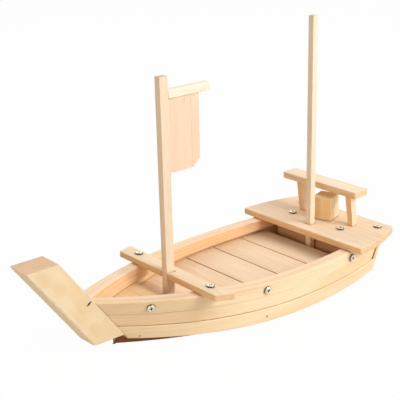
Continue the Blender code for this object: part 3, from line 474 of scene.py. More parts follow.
def make_pine_group():
    """Solid pine: growth rings, fibres, flecks, blotches, cut ends, painted side shade, rubbed edges with a
    painted highlight and painted shade in corners.
    """
    tree = bpy.data.node_groups.new("solid_pine", "ShaderNodeTree")
    for direction, kind, names in PINE_SOCKETS:
        for name in names:
            tree.interface.new_socket(name=name, in_out=direction, socket_type=f"NodeSocket{kind}")
    graph = Graph(tree)
    given = graph.add("NodeGroupInput").outputs
    grain = given["Grain"]
    noise = {
        name: graph.noise(grain, (along, across, across), detail, roughness)
        for name, (along, across, detail, roughness) in PINE_NOISE.items()
    }
    effect = {name: graph.spread(noise[source], *ends) for name, (source, *ends) in PINE_EFFECTS.items()}

    # The trunk wanders slowly along its length, so that the rings run out as arches on a flat face.
    bend = graph.noise(grain, BEND_SCALE, BEND_DETAIL, output="Color")
    bend = graph.stretch(graph.vector("SUBTRACT", bend, (0.5, 0.5, 0.5)), BEND_REACH)
    trunk = graph.stretch(graph.vector("ADD", grain, bend), (0.0, 1.0, 1.0))
    radius = graph.math("MULTIPLY_ADD", noise["ripple"], RIPPLE_REACH, graph.vector("LENGTH", trunk))
    count = graph.math("MULTIPLY", radius, 1.0 / RING_WIDTH)
    count = graph.math("MULTIPLY_ADD", graph.line_noise(count, YEAR_SCALE, 0.0), YEAR_CHANGE, count)
    late = graph.ramp(graph.math("FRACT", count), RING_STOPS)
    late = graph.math("MULTIPLY", late, effect["patch"])
    rings = graph.math("MULTIPLY", late, given["Rings"])
    colour = graph.blend(rings, given["Early"], given["Late"])

    # Fibres, resin flecks and slow changes of tone.
    tone = graph.math("MULTIPLY", effect["fibre_tone"], effect["streak_tone"])
    tone = graph.math("MULTIPLY_ADD", graph.math("SUBTRACT", tone, 1.0), given["Figure"], 1.0)
    colour = graph.stretch(colour, graph.math("MULTIPLY", tone, effect["blotch_tone"]))
    warm = graph.math("MULTIPLY", effect["warm"], given["Figure"])
    colour = graph.blend(warm, colour, linear(WARM_TONE), "MULTIPLY")
    fleck = graph.math("MULTIPLY", effect["fleck"], given["Figure"])
    colour = graph.blend(fleck, colour, linear(FLECK_TONE))

    # Painted shade: faces turned across the board's width, and the planks' inner faces, are tinted darker
    # orange, broken up by streaks.
    heart = graph.math("MULTIPLY", graph.spread(given["SideShade"], *SIDE_SHADE_RANGE), effect["side_shade_streak"])
    colour = graph.blend(heart, colour, graph.stretch(colour, SIDE_SHADE_TINT))

    # Cut ends drink up light: darker, warmer and rougher, with the rings standing out.
    end = graph.spread(given["End"], *END_RANGE)
    end_colour = graph.stretch(graph.stretch(colour, given["Cut"]), effect["end_speck"])
    colour = graph.blend(end, colour, end_colour)

    # Edges are rubbed paler, partly as wear and partly as a painted highlight; corners get painted shade.
    round_normal = graph.add("ShaderNodeBevel", {"Radius": WEAR_SHEEN_EDGE}, samples=WEAR_SHEEN_SAMPLES).outputs[0]
    flat_normal = graph.add("ShaderNodeNewGeometry").outputs["Normal"]
    wear_sheen = graph.spread(graph.vector("DOT_PRODUCT", round_normal, flat_normal), *WEAR_SHEEN_RANGE)
    wear_sheen = graph.math("MULTIPLY", graph.math("MAXIMUM", wear_sheen, given["WearSheen"]), effect["rub"])
    colour = graph.blend(wear_sheen, colour, linear(WEAR_SHEEN_TONE))
    # Painted shade: the corners that ambient occlusion finds are darkened towards orange brown.
    corners = graph.add("ShaderNodeAmbientOcclusion", {"Distance": CORNER_SHADE_REACH}, samples=CORNER_SHADE_SAMPLES)
    corner_shade = graph.spread(corners.outputs["AO"], *CORNER_SHADE_RANGE)
    colour = graph.blend(corner_shade, colour, linear(CORNER_SHADE_TONE), "MULTIPLY")

    rough = graph.math("MULTIPLY_ADD", late, LATE_ROUGH, PINE_ROUGH)
    rough = graph.math("MULTIPLY_ADD", noise["fibre"], FIBRE_ROUGH, rough)
    rough = graph.math("MULTIPLY_ADD", end, END_ROUGH, rough)
    height = graph.math("MULTIPLY", late, LATE_HEIGHT)
    height = graph.math("MULTIPLY_ADD", noise["fibre"], FIBRE_HEIGHT, height)
    height = graph.math("MULTIPLY_ADD", noise["streak"], STREAK_HEIGHT, height)
    graph.add("NodeGroupOutput", {"Color": colour, "Roughness": rough, "Height": height})
    return tree


PINE_GROUP = make_pine_group()
MARK_NOISE = (900.0, 900.0, 900.0)
MARK_FRAY = 0.35
MARK_EDGE = (1.25, 0.75)


def add_mark(graph, colour, grain, mark):
    """Tints a small patch: its middle and half-sizes in the grain's axes, its tone and how strong it is."""
    middle, halves, tone, strength = mark
    away = graph.vector("SUBTRACT", grain, middle)
    reach = graph.vector("LENGTH", graph.stretch(away, tuple(1.0 / half for half in halves)))
    reach = graph.math("MULTIPLY_ADD", graph.noise(grain, MARK_NOISE), MARK_FRAY, reach)
    return graph.blend(graph.spread(reach, *MARK_EDGE, 0.0, strength), colour, linear(tone))


def make_pine(name, early, late, rings, figure=1.0, heart=0.0, cut=CUT_TINT, stored=True, marks=()):
    """Pine in one tone. New pieces store their grain, kept nodes take it from their place."""
    made, graph, shader = new_material(name)
    inputs = {"Early": linear(early), "Late": linear(late), "Rings": rings, "Figure": figure, "Cut": cut}
    if stored:
        inputs["Grain"] = graph.attribute("grain", "Vector")
        inputs["End"] = graph.attribute("end_grain")
        inputs["WearSheen"] = graph.attribute("wear_sheen")
        inputs["SideShade"] = graph.math("MULTIPLY", graph.attribute("side_shade_share"), heart)
    else:
        place = graph.add("ShaderNodeTexCoord").outputs
        turned = {"Vector": place["Object"], "Rotation": (0.0, 0.0, math.pi / 2), "Location": KEPT_PITH}
        inputs["Grain"] = graph.add("ShaderNodeMapping", turned).outputs[0]
        facing = graph.add("ShaderNodeSeparateXYZ", {"Vector": place["Normal"]}).outputs["Y"]
        inputs["End"] = graph.math("ABSOLUTE", facing)
    pine = graph.add("ShaderNodeGroup", inputs, node_tree=PINE_GROUP).outputs
    colour = pine["Color"]
    for mark in marks:
        colour = add_mark(graph, colour, inputs["Grain"], mark)
    graph.surface(shader, colour, pine["Roughness"], pine["Height"], PINE_BUMP, PINE_BUMP_DEPTH)
    shader.inputs["IOR"].default_value = PINE_IOR
    shader.inputs["Specular IOR Level"].default_value = PINE_SPECULAR
    return made


TURNING_SCALE, TURNING_DETAIL = 9000.0, 2.0
SCRATCH_SCALE = (700.0, 5200.0, 900.0)
SCRATCH_RANGE = (0.55, 0.75)
CLOUD_SCALE = (420.0, 420.0, 420.0)
CLOUD_RANGE = (0.3, 0.7)
RIM_FRAY, RIM_START, RIM_END = 0.06, 0.90, 1.02     # shares of a head's radius
RIM_STRENGTH = 0.90
# Painted shade in the cross recess: how its depth maps to a share
RECESS_SHADE_RANGE = (0.10, 0.55, 0.0, 0.97)
# Tone of the painted shade round the head's rim
RIM_SHADE_TONE = (70, 56, 44)
# Tone of the painted shade in the cross recess
RECESS_SHADE_TONE = (26, 21, 17)
STEEL_ROUGH, TURNING_ROUGH, SCRATCH_ROUGH = 0.22, 0.16, 0.18
STEEL_BUMP, STEEL_BUMP_DEPTH = 0.25, 0.00004


def make_steel(name, bright, dull, radius):
    """Plated steel: turning marks, scratches, cloudy plating, painted shade round the rim and painted shade in
    the recess.
    """
    made, graph, shader = new_material(name)
    place = graph.add("ShaderNodeTexCoord").outputs["Object"]
    reach = graph.vector("LENGTH", graph.stretch(place, (1.0, 1.0, 0.0)))
    turning = graph.line_noise(reach, TURNING_SCALE, TURNING_DETAIL)
    scratch = graph.noise(place, SCRATCH_SCALE)
    cloud = graph.noise(place, CLOUD_SCALE)
    colour = graph.blend(graph.spread(cloud, *CLOUD_RANGE), linear(bright), linear(dull))
    # Painted shade: a dark ring round the rim of the head.
    rim = graph.math("MULTIPLY_ADD", cloud, RIM_FRAY * radius, reach)
    rim_share = graph.spread(rim, RIM_START * radius, RIM_END * radius, 0.0, RIM_STRENGTH)
    colour = graph.blend(rim_share, colour, linear(RIM_SHADE_TONE))
    # Painted shade: the cross recess is darkened nearly to black.
    recess_shade = graph.spread(graph.attribute("recess"), *RECESS_SHADE_RANGE)
    colour = graph.blend(recess_shade, colour, linear(RECESS_SHADE_TONE))
    rough = graph.math("MULTIPLY_ADD", turning, TURNING_ROUGH, STEEL_ROUGH)
    rough = graph.math("MULTIPLY_ADD", graph.spread(scratch, *SCRATCH_RANGE), SCRATCH_ROUGH, rough)
    graph.surface(shader, colour, rough, graph.math("ADD", turning, scratch), STEEL_BUMP, STEEL_BUMP_DEPTH)
    shader.inputs["Metallic"].default_value = 1.0
    return made


PITH_LENGTH = 6.0
PITH_ACROSS = 0.022
PITH_DEPTHS = (0.018, 0.050)


def pith(name):
    """Where a piece was cut from its tree, as an offset of its grain from the middle of the trunk."""
    chance = random.Random(name)
    across = chance.uniform(-PITH_ACROSS, PITH_ACROSS)
    return Vector((chance.uniform(0.0, PITH_LENGTH), across, chance.uniform(*PITH_DEPTHS)))


def grain_axes(along, across):
    """Unit vectors along the grain, across it and square to both."""
    along = Vector(along).normalized()
    depth = along.cross(across).normalized()
    return along, depth.cross(along), depth


def grain_place(name, place, axes):
    """Place of a point in the tree that a piece was cut from."""
    return Vector([Vector(place).dot(axis) for axis in axes]) + pith(name)


STEM_ALONG = (-math.sin(STEM_RAKE), 0.0, math.cos(STEM_RAKE))
STEM_AXES = grain_axes(STEM_ALONG, Y)
SAIL_AXES = grain_axes(Z, X)
KEPT_PITH = (0.0, 0.03, 0.05)
TRANSOM_UP = (math.sin(TRANSOM_RAKE), 0.0, math.cos(TRANSOM_RAKE))
TRANSOM_AXES = grain_axes(Y, TRANSOM_UP)
BLOTCH_STRENGTH = 0.34
JOINT_STRENGTH = 0.97
PLANK_MARK_HALF = 0.030


def stem_blotches():
    """Mottling of the stem's port face: a mark for each height and share of its depth."""
    chord = STEM_SIDE / math.cos(STEM_RAKE)
    marks = []
    for z, share, tone in STEM_BLOTCHES:
        place = (stem_aft_x(z) - chord * share, -STEM_SIDE / 2, z)
        marks.append((grain_place("stem_post", place, STEM_AXES), STEM_BLOTCH_SIZE, tone, BLOTCH_STRENGTH))
    return marks


def joint_mark(share, halves, tone):
    """Mark on the transom's front face at its port edge, seen in the joint to the planks."""
    x = stern_end(share, TRANSOM_FRONT)
    place = (x, TRANSOM_INSET - outer_y(x, share), edge_z(x, share))
    return grain_place("transom", place, TRANSOM_AXES), halves, tone, JOINT_STRENGTH


def plank_mark(name, run, half_length, tone, strength):
    """Change of tone in part of a plank, round a place this far from the bow."""
    halves = (half_length, PLANK_MARK_HALF, PLANK_MARK_HALF)
    return Vector((run, 0.0, 0.0)) + pith(name), halves, tone, strength


# Marks on single pieces: place on the boat, half-sizes in the grain's axes, tone and strength.
STEM_MARKS = (
    (grain_place("stem_post", STEM_LAP_PLACE, STEM_AXES), (0.0024, 0.0040, 0.0050), (238, 200, 170), 0.80),
    # Painted shade: a dark spot at the open end of the rabbet beside the gunwale.
    (grain_place("stem_post", STEM_GAP_PLACE, STEM_AXES), (0.0016, 0.0040, 0.0042), (80, 48, 24), 0.97),
)
TRANSOM_MARKS = (
    joint_mark((LOW_SEAM + 1.0) / 2, (0.0100, 0.0400, 0.0020), (142, 94, 52)),
    joint_mark(LOW_SEAM, (0.0060, 0.0045, 0.0025), (92, 56, 28)),
)
HULL_MARKS = (
    # Painted shade: the top strake is darker towards the bow, where it turns from the light.
    plank_mark("port_top_strake", 0.045, 0.085, (222, 190, 148), 0.50),
    plank_mark("port_middle_strake", 0.060, 0.070, (232, 190, 142), 0.35),
    plank_mark("port_middle_strake", 0.335, 0.085, (246, 205, 158), 0.55),
)
SAIL_KNOT = grain_place("sail_strip_0", SAIL_KNOT_PLACE, SAIL_AXES)
SAIL_MARKS = ((SAIL_KNOT, (0.0035, 0.0016, 0.0100), (226, 172, 130), 0.40),)

# Woods: name, early wood, late wood, strength of the rings and of the figure, and what else differs
WOODS = (
    ("hull", (252, 227, 190), (236, 197, 150), 0.32, 0.60, {"heart": 0.95, "marks": HULL_MARKS}),
    ("transom", (252, 227, 190), (236, 197, 150), 0.32, 0.60, {"marks": TRANSOM_MARKS}),
    ("rail", (251, 222, 193), (232, 192, 148), 0.35, 0.90, {"heart": 0.95}),
    ("stem", (235, 211, 173), (220, 186, 142), 0.12, 0.35,
     {"cut": PINK_CUT_TINT, "marks": (*stem_blotches(), *STEM_MARKS)}),
    ("beam", (247, 221, 189), (230, 190, 146), 0.38, 0.80, {"heart": 1.0}),
    ("mast", (238, 217, 191), (224, 191, 154), 0.32, 0.80, {}),
    ("stern_mast", (246, 229, 206), (232, 203, 170), 0.32, 0.80, {}),
    ("yard", (249, 237, 217), (238, 213, 178), 0.30, 0.70, {}),
    ("cream", (249, 229, 202), (236, 202, 158), 0.38, 0.80, {"heart": 1.0}),
    ("sail", (242, 212, 186), (232, 196, 164), 0.12, 0.35, {"marks": SAIL_MARKS}),
    ("deck", (250, 225, 195), (228, 187, 142), 0.50, 0.95, {"heart": 0.90}),
    ("gold", (239, 203, 156), (218, 170, 118), 0.42, 0.90, {}),
    # inner: darker, warmer pine that stands for the shade under the stern deck
    ("inner", (236, 188, 142), (202, 146, 98), 0.45, 0.90, {}),
    ("block", (252, 228, 190), (238, 198, 150), 0.22, 0.50, {"heart": 0.66}),
    # shade: dark pine that stands for pale pine in shadow, used for the bottom board
    ("shade", (142, 98, 66), (96, 60, 38), 0.75, 1.0, {}),
    ("kept", (232, 184, 128), (200, 146, 92), 0.50, 1.0, {"stored": False}),
)
PINE = {name: make_pine(f"{name}_pine", *tones, **more) for name, *tones, more in WOODS}
STEEL = make_steel("plated_steel", (242, 231, 210), (216, 202, 180), SCREW_HEAD_RADIUS)
NAIL_STEEL = make_steel("nail_steel", (196, 178, 152), (150, 130, 106), 2 * NAIL_HEAD_RADIUS)


# Pieces

def grain_layers(made):
    """New layers of a body: place in the tree, share of end grain, share of a face that takes the painted side
    shade.
    """
    faces = made.faces.layers.float
    return made.verts.layers.float_vector.new("grain"), faces.new("end_grain"), faces.new("side_shade_share")


def store_grain(made, name, axes):
    """Stores each point's place in the tree, how far each face turns to cut ends, and how far it takes the
    painted side shade.
    """
    made.normal_update()
    grain, end, side_shade_share = grain_layers(made)
    for vert in made.verts:
        vert[grain] = grain_place(name, vert.co, axes)
    for face in made.faces:
        face[end] = abs(face.normal.dot(axes[0]))
        face[side_shade_share] = abs(face.normal.dot(axes[1]))


def to_mesh(made, name, finish=None):
    """Turns a body into a smooth mesh."""
    for face in made.faces:
        face.smooth = True
    mesh = bpy.data.meshes.new(name)
    made.to_mesh(mesh)
    made.free()
    if finish:
        mesh.materials.append(finish)
    return mesh


def show(name, data):
    """Puts a new object in the scene."""
    item = bpy.data.objects.new(name, data)
    bpy.context.scene.collection.objects.link(item)
    return item


def add_piece(name, made, wood, body):
    """Makes the piece that is shown for the node of this name."""
    item = show(f"{name}_shown", to_mesh(made, f"{name}_shown", PINE[wood]))
    normals = item.modifiers.new("even_normals", "WEIGHTED_NORMAL")
    normals.keep_sharp = True
    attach(item, body)
    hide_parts(name)


def skin(made, loops):
    """Closes rings of points into a body. Gives its side faces, ring by ring, and its two caps."""
    walls = []
    for near, far in zip(loops, loops[1:]):
        for i in range(len(near)):
            j = (i + 1) % len(near)
            walls.append(made.faces.new((near[i], near[j], far[j], far[i])))
    return walls, [made.faces.new(loops[0]), made.faces.new(loops[-1])]


def loft(rings):
    """Closed body through rings of points, with both ends capped."""
    made = bmesh.new()
    skin(made, [[made.verts.new(point) for point in ring] for ring in rings])
    made.verts.index_update()
    return made


def mirrored(ring):
    """Points of one side, and then those of the other side on the way back."""
    return ring + [(x, -y, z) for x, y, z in reversed(ring)]


def prism(outline, low, high):
    return loft([[(x, y, z) for x, y in outline] for z in (low, high)])


def box(low, high):
    outline = ((low[0], low[1]), (high[0], low[1]), (high[0], high[1]), (low[0], high[1]))
    return prism(outline, low[2], high[2])


def round_edges(made, edges, radius, clamp):
    """Rounds some edges of a body and gives the new faces."""
    settings = {"segments": ROUND_STEPS, "profile": 0.5, "affect": "EDGES", "clamp_overlap": clamp}
    return bmesh.ops.bevel(made, geom=edges, offset=radius, **settings)["faces"]


def sand(made, radius):
    """Rounds the sharp edges of a body."""
    bmesh.ops.recalc_face_normals(made, faces=made.faces)
    sharp = [edge for edge in made.edges if edge.calc_face_angle(0.0) > SHARP_ANGLE]
    round_edges(made, sharp, radius, True)


def board(name, made, wood, along, across, radius=BOARD_ROUND, place=Matrix(), body="hull"):
    """Sanded board in its own frame, with the grain running along one of its axes."""
    sand(made, radius)
    store_grain(made, name, grain_axes(along, across))
    made.transform(place)
    add_piece(name, made, wood, body)


def rounded_section(width, height, radii):
    """Outline of a plank as (depth from the outer face, height) points, with a radius at each corner."""
    most = ROUND_MOST * min(width, height)
    corners = (
        (0.0, 0.0, math.pi, 1.0, 1.0), (0.0, height, math.pi / 2, 1.0, -1.0),
        (width, height, 0.0, -1.0, -1.0), (width, 0.0, -math.pi / 2, -1.0, 1.0),
    )
    points = []
    for (x, y, last, to_x, to_y), radius in zip(corners, radii):
        radius = min(radius, most)
        for step in range(ROUND_STEPS + 1):
            turn = last + math.pi / 2 * (1.0 - step / ROUND_STEPS)
            centre_x = x + to_x * radius
            centre_y = y + to_y * radius
            points.append((centre_x + radius * math.cos(turn), centre_y + radius * math.sin(turn)))
    return points


def plank_corners(along, low_share, high_share, outer_depth, thickness, lap):
    """Outer and inner points of a plank's two edges at a part of its length, starboard side."""
    edges = []
    for share, shift in ((low_share, GAP / 2), (high_share, -GAP / 2)):
        start = bow_end(share)
        x = start + along * (stern_end(share, lap) - start)
        if share == LOW_SEAM:
            shift *= LOW_SEAM_GAP / GAP
        z = edge_z(x, share) + (shift if 0.0 < share < 1.0 else 0.0)
        outer = max(GAP, inset_y(x, share, outer_depth))
        inner = max(GAP / 2, inset_y(x, share, outer_depth + thickness))
        edges.append((Vector((x, outer, z)), Vector((x, inner, z))))
    return edges


def plank(name, side, low_share, high_share, outer_depth, thickness, radii, wood, lap=-STERN_JOINT_GAP):
    """Bent plank whose grain follows its length; it stops short of the transom or laps over its edge."""
    made = bmesh.new()
    grain, end, side_shade_share = grain_layers(made)
    offset = pith(name)
    mirror = Vector((1.0, side, 1.0))
    loops = []
    run = 0.0
    last = None
    for station in range(PLANK_STATIONS + 1):
        along = station / PLANK_STATIONS
        low, high = plank_corners(along, low_share, high_share, outer_depth, thickness, lap)
        middle = (low[0] + high[0]) / 2
        run += (middle - last).length if last else 0.0
        last = middle
        width = (low[0] - low[1]).length
        height = (high[0] - low[0]).length
        loop = []
        for depth, rise in rounded_section(width, height, radii):
            lower = low[0].lerp(low[1], depth / width)
            upper = high[0].lerp(high[1], depth / width)
            vert = made.verts.new(lower.lerp(upper, rise / height) * mirror)
            vert[grain] = Vector((run, rise - height / 2, depth)) + offset
            loop.append(vert)
        loops.append(loop)
    walls, caps = skin(made, loops)
    corner_points = ROUND_STEPS + 1
    inner_face = 3 * corner_points - 1
    # The inner faces take the full painted side shade.
    for face in walls[inner_face::4 * corner_points]:
        face[side_shade_share] = 1.0
    for cap in caps:
        cap[end] = 1.0
        for edge in cap.edges:
            edge.smooth = False
    bmesh.ops.recalc_face_normals(made, faces=made.faces)
    add_piece(name, made, wood, "hull")


def make_planking():
    """Three strakes and an inwale on each side."""
    low_seam = LOW_SEAM_ROUND
    strakes = {
        "lower": (0.0, LOW_SEAM, TOP_STRAKE_STEP, (BOARD_ROUND, low_seam, JOINT_ROUND, JOINT_ROUND)),
        "middle": (LOW_SEAM, HIGH_SEAM, TOP_STRAKE_STEP, (low_seam, JOINT_ROUND, JOINT_ROUND, JOINT_ROUND)),
        "top": (HIGH_SEAM, 1.0, 0.0, (SEAM_ROUND, GUNWALE_ROUND, JOINT_ROUND, JOINT_ROUND)),
    }
    for side_name, side in SIDES.items():
        for strake, (low, high, depth, radii) in strakes.items():
            name = f"{side_name}_{strake}_strake"
            lap = TRANSOM_AFT if strake == "lower" else -STERN_JOINT_GAP
            plank(name, side, low, high, depth, PLANK_THICKNESS - depth, radii, "hull", lap)
        radii = (JOINT_ROUND, JOINT_ROUND, BOARD_ROUND, BOARD_ROUND)
        depth = PLANK_THICKNESS + GAP
        plank(f"{side_name}_inwale", side, INWALE_EDGE, 1.0, depth, INWALE_THICKNESS, radii, "rail")


def make_stem():
    """Raked square post."""
    chord = STEM_SIDE / math.cos(STEM_RAKE)
    half = STEM_SIDE / 2
    foot = []
    top = []
    for front, side in ((1.0, -1.0), (0.0, -1.0), (0.0, 1.0), (1.0, 1.0)):
        foot_z = STEM_FOOT_Z + STEM_FOOT_RISE * front - STEM_FOOT_SKEW * side
        foot.append((stem_aft_x(foot_z) - chord * front, half * side, foot_z))
        top.append((stem_aft_x(STEM_TOP_Z) - chord * front, half * side, STEM_TOP_Z))
    stem = loft([foot, top])
    bmesh.ops.recalc_face_normals(stem, faces=stem.faces)
    # The first and the last of the four points in each ring are the front corners.
    front = [edge for edge in stem.edges if all(vert.index % 4 in (0, 3) for vert in edge.verts)]
    long_edges = [edge for edge in front if edge.calc_length() > 2 * STEM_SIDE]
    # The rounded front edges are painted paler, partly as wear and partly as a painted highlight.
    wear_sheen = stem.faces.layers.float.new("wear_sheen")
    for face in round_edges(stem, long_edges, STEM_ROUND, False):
        face[wear_sheen] = 1.0
    board("stem_post", stem, "stem", STEM_ALONG, Y, BOARD_ROUND)


def make_transom():
    """Raked board between the lower strakes and across the ends of the others."""
    rings = []
    for behind in (TRANSOM_FRONT, TRANSOM_AFT):
        ring = []
        for share, depth in (
            (0.0, PLANK_THICKNESS + CURVE_GAP), (LOW_SEAM, PLANK_THICKNESS + CURVE_GAP),
            (LOW_SEAM, TRANSOM_INSET), (HIGH_SEAM, TRANSOM_INSET), (1.0, TRANSOM_INSET),
        ):
            x = stern_end(share, behind)
            lift = GAP / 2 if share == LOW_SEAM else 0.0
            ring.append((x, inset_y(x, share, depth), edge_z(x, share) + lift))
        rings.append(mirrored(ring))
    board("transom", loft(rings), "transom", Y, TRANSOM_UP, DECK_ROUND)


def flat(height):
    """The same height at every place."""
    return lambda *place: height


def inner_side(start, end, low_z, high_z, stations=BOARD_STATIONS):
    """Points (x, half-breadth) along the inside of the planking, clear of it at both heights."""
    side = []
    for station in range(stations + 1):
        x = start + (end - start) * station / stations
        side.append((x, min(inside_y(x, low_z(x)), inside_y(x, high_z(x)))))
    return side


def hull_board(front_x, aft_x, low_z, high_z, aft_rake=0.0, stations=BOARD_STATIONS):
    """Board across the hull whose ends follow the planking; low_z and high_z give heights along x."""
    rings = []
    for height in (low_z, high_z):
        side = inner_side(front_x, aft_x + height(aft_x) * aft_rake, low_z, high_z, stations)
        rings.append(mirrored([(x, -half, height(x)) for x, half in side]))
    return loft(rings)


def holed_plate(side, heights, holes, half):
    """Plate with a square hole, as two halves that meet in the middle plane.

    side is its starboard edge from front to aft; holes gives the hole's front and aft edge at each height.
    """
    made = bmesh.new()
    levels = []
    for height, (front, aft) in zip(heights, holes):
        hole_edge = [(front, 0.0), (front, half), (aft, half), (aft, 0.0)]
        outline = [(side[0][0], 0.0), *hole_edge, (side[-1][0], 0.0), *reversed(side)]
        levels.append([
            [made.verts.new((x, mirror * y, height)) for x, y in outline] for mirror in SIDES.values()
        ])
    in_hole = range(1, 4)
    round_edge = range(5, len(side) + 6)
    for low, high in zip(*levels):
        made.faces.new(low)
        made.faces.new(high)
        for i in (*in_hole, *round_edge):
            j = (i + 1) % len(low)
            made.faces.new((low[i], low[j], high[j], high[i]))
    bmesh.ops.remove_doubles(made, verts=made.verts, dist=WELD_DISTANCE)
    return made


def slat_edges():
    """Edges of the serving slats along the boat, from the bow deck to the stern mast."""
    front = BOW_DECK_AFT_X + SLAT_GAP
    aft = STERN_MAST_X - STERN_MAST_SIDE / 2 - SLAT_MAST_CLEARANCE
    pitch = SLAT_WIDTH + SLAT_GAP
    edges = [front]
    seam = FIRST_SLAT_SEAM_X
    while seam < aft - pitch * SHORTEST_SLAT:
        if seam > front + pitch * SHORTEST_SLAT:
            edges.append(seam)
        seam += pitch
    edges.append(aft)
    return edges


def make_bottom_board():
    """Board that the boat stands on, with an aft end on the transom's slope."""
    aft_x = TRANSOM_FOOT_X - GAP
    slope = math.tan(TRANSOM_RAKE)
    bottom = hull_board(BOTTOM_TIP_X, aft_x, flat(0.0), flat(BOTTOM_THICKNESS), slope, PLANK_STATIONS)
    # Painted shadow: the board is dark brown, as the pale pine shows in shade under the raised ends.
    board("bottom_board", bottom, "shade", X, Y)


def mast_slat(start, end):
    """Serving slat with a hole for the front mast."""
    reach = FRONT_MAST_LENGTH / 2 + MAST_PLAY
    half = FRONT_MAST_WIDTH / 2 + MAST_PLAY
    hole = (FRONT_MAST_X - reach, FRONT_MAST_X + reach)
    side = inner_side(start, end, flat(SLAT_BOTTOM_Z), flat(SLAT_TOP_Z))
    return holed_plate(side, (SLAT_BOTTOM_Z, SLAT_TOP_Z), (hole, hole), half)


def make_slats():
    """Serving slats from the bow deck to the stern mast."""
    edges = slat_edges()
    for number, (front, aft) in enumerate(zip(edges, edges[1:]), 1):
        start = front + (SLAT_GAP / 2 if number > 1 else 0.0)
        end = aft - (SLAT_GAP / 2 if number < len(edges) - 1 else 0.0)
        if start < FRONT_MAST_X < end:
            slat = mast_slat(start, end)
        else:
            slat = hull_board(start, end, flat(SLAT_BOTTOM_Z), flat(SLAT_TOP_Z))
        board(f"serving_slat_{number}", slat, "beam", Y, X, SEAM_ROUND)


def make_bow_deck():
    """Three-cornered board under the inwales, on their slope at its middle."""
    middle = BOW_DECK_AFT_X - BOW_DECK_LENGTH / 2

    def rail_z(x):
        return edge_z(x, INWALE_EDGE) - GAP

    slope = slope_at(rail_z, middle)

    def top(x):
        return rail_z(middle) + slope * (x - middle)

    def under(x):
        return top(x) - BOW_DECK_THICKNESS

    deck = hull_board(BOW_DECK_AFT_X - BOW_DECK_LENGTH, BOW_DECK_AFT_X, under, top)
    board("bow_deck", deck, "gold", Y, X, SEAM_ROUND)


def make_bulkhead():
    """Board under the stern deck, between the inwales and behind the mast."""
    front = BULKHEAD_FRONT_X
    aft = front + BULKHEAD_THICKNESS

    def top(x):
        return stern_deck_under_z(x) - GAP

    low = SLAT_BOTTOM_Z
    depth = PLANK_THICKNESS + CURVE_GAP + GAP + INWALE_THICKNESS
    rings = []
    for x in (front, aft):
        half = min(inset_y(x, max(0.0, share_at(x, z)), depth) for z in (low, top(x)))
        rings.append([(x, -half, low), (x, half, low), (x, half, top(x)), (x, -half, top(x))])
    # Painted shade: the bulkhead's pine is darker and warmer, as it shows under the stern deck.
    board("stern_bulkhead", loft(rings), "inner", Y, Z, SEAM_ROUND)


def make_crossbeam():
    """Beam across the gunwales with an open notch for the mast."""
    half = FRONT_MAST_WIDTH / 2 + MAST_PLAY
    notch = FRONT_MAST_LENGTH + MAST_PLAY + (BEAM_THICKNESS + GAP) * math.tan(BEAM_TILT)
    outline = (
        (0.0, -BEAM_FRONT_HALF_LENGTH), (BEAM_WIDTH, -BEAM_AFT_HALF_LENGTH),
        (BEAM_WIDTH, BEAM_AFT_HALF_LENGTH), (0.0, BEAM_FRONT_HALF_LENGTH),
        (0.0, half), (notch, half), (notch, -half), (0.0, -half),
    )
    beam = prism(outline, 0.0, BEAM_THICKNESS)
    board("crossbeam", beam, "beam", Y, X, BOARD_ROUND, BEAM_FRAME)


def make_mast(name, body, wood, x, length, width, top):
    mast = box((x - length / 2, -width / 2, MAST_FOOT_Z), (x + length / 2, width / 2, top))
    board(name, mast, wood, Z, X, SEAM_ROUND, body=body)


def make_masts():
    """Both masts, and the yard and sail on the front one."""
    front_section = (FRONT_MAST_LENGTH, FRONT_MAST_WIDTH)
    stern_section = (STERN_MAST_SIDE, STERN_MAST_SIDE)
    make_mast("front_mast", "front_rig", "mast", FRONT_MAST_X, *front_section, FRONT_MAST_TOP_Z)
    make_mast("stern_mast", "stern_mast", "stern_mast", STERN_MAST_X, *stern_section, STERN_MAST_TOP_Z)
    start = FRONT_MAST_X + FRONT_MAST_LENGTH / 2 + GAP
    yard_low = YARD_TOP_Z - YARD_HEIGHT
    yard = box((start, -YARD_WIDTH / 2, yard_low), (start + YARD_LENGTH, YARD_WIDTH / 2, YARD_TOP_Z))
    board("yard", yard, "yard", X, Z, SEAM_ROUND, body="front_rig")
    top = yard_low - GAP
    low = top - SAIL_HEIGHT
    end = start + SAIL_LENGTH
    seam = start + SAIL_SEAM
    main = ((start, low), (seam, low), (seam, top), (start, top))
    edge = (
        (seam, low), (end - SAIL_CORNER_CUT, low), (end, low + SAIL_CORNER_CUT), (end, top), (seam, top),
    )
    sail = bmesh.new()
    for number, outline in enumerate((main, edge)):
        rings = [[(x, y, z) for x, z in outline] for y in (-SAIL_THICKNESS / 2, SAIL_THICKNESS / 2)]
        strip = loft(rings)
        sand(strip, SAIL_ROUND)
        store_grain(strip, f"sail_strip_{number}", SAIL_AXES)
        mesh = to_mesh(strip, "sail_strip")
        sail.from_mesh(mesh)
        bpy.data.meshes.remove(mesh)
    add_piece("sail", sail, "sail", "front_rig")


def stern_deck_side():
    """Starboard edge of the stern deck in its own frame, drawn in towards a rounded aft corner."""
    straight = STERN_DECK_LENGTH - STERN_DECK_CORNER
    side = []
    for i in range(DECK_STATIONS + 1):
        x = straight * i / DECK_STATIONS
        drawn_in = (STERN_DECK_FRONT_HALF - STERN_DECK_AFT_HALF) * (x / STERN_DECK_LENGTH) ** 2
        side.append((x, STERN_DECK_FRONT_HALF - drawn_in))
    start_y = side[-1][1]
    for i in range(1, CORNER_STEPS + 1):
        turn = math.pi / 2 * i / CORNER_STEPS
        x = straight + STERN_DECK_CORNER * math.sin(turn)
        side.append((x, start_y - STERN_DECK_CORNER * (1.0 - math.cos(turn))))
    return side


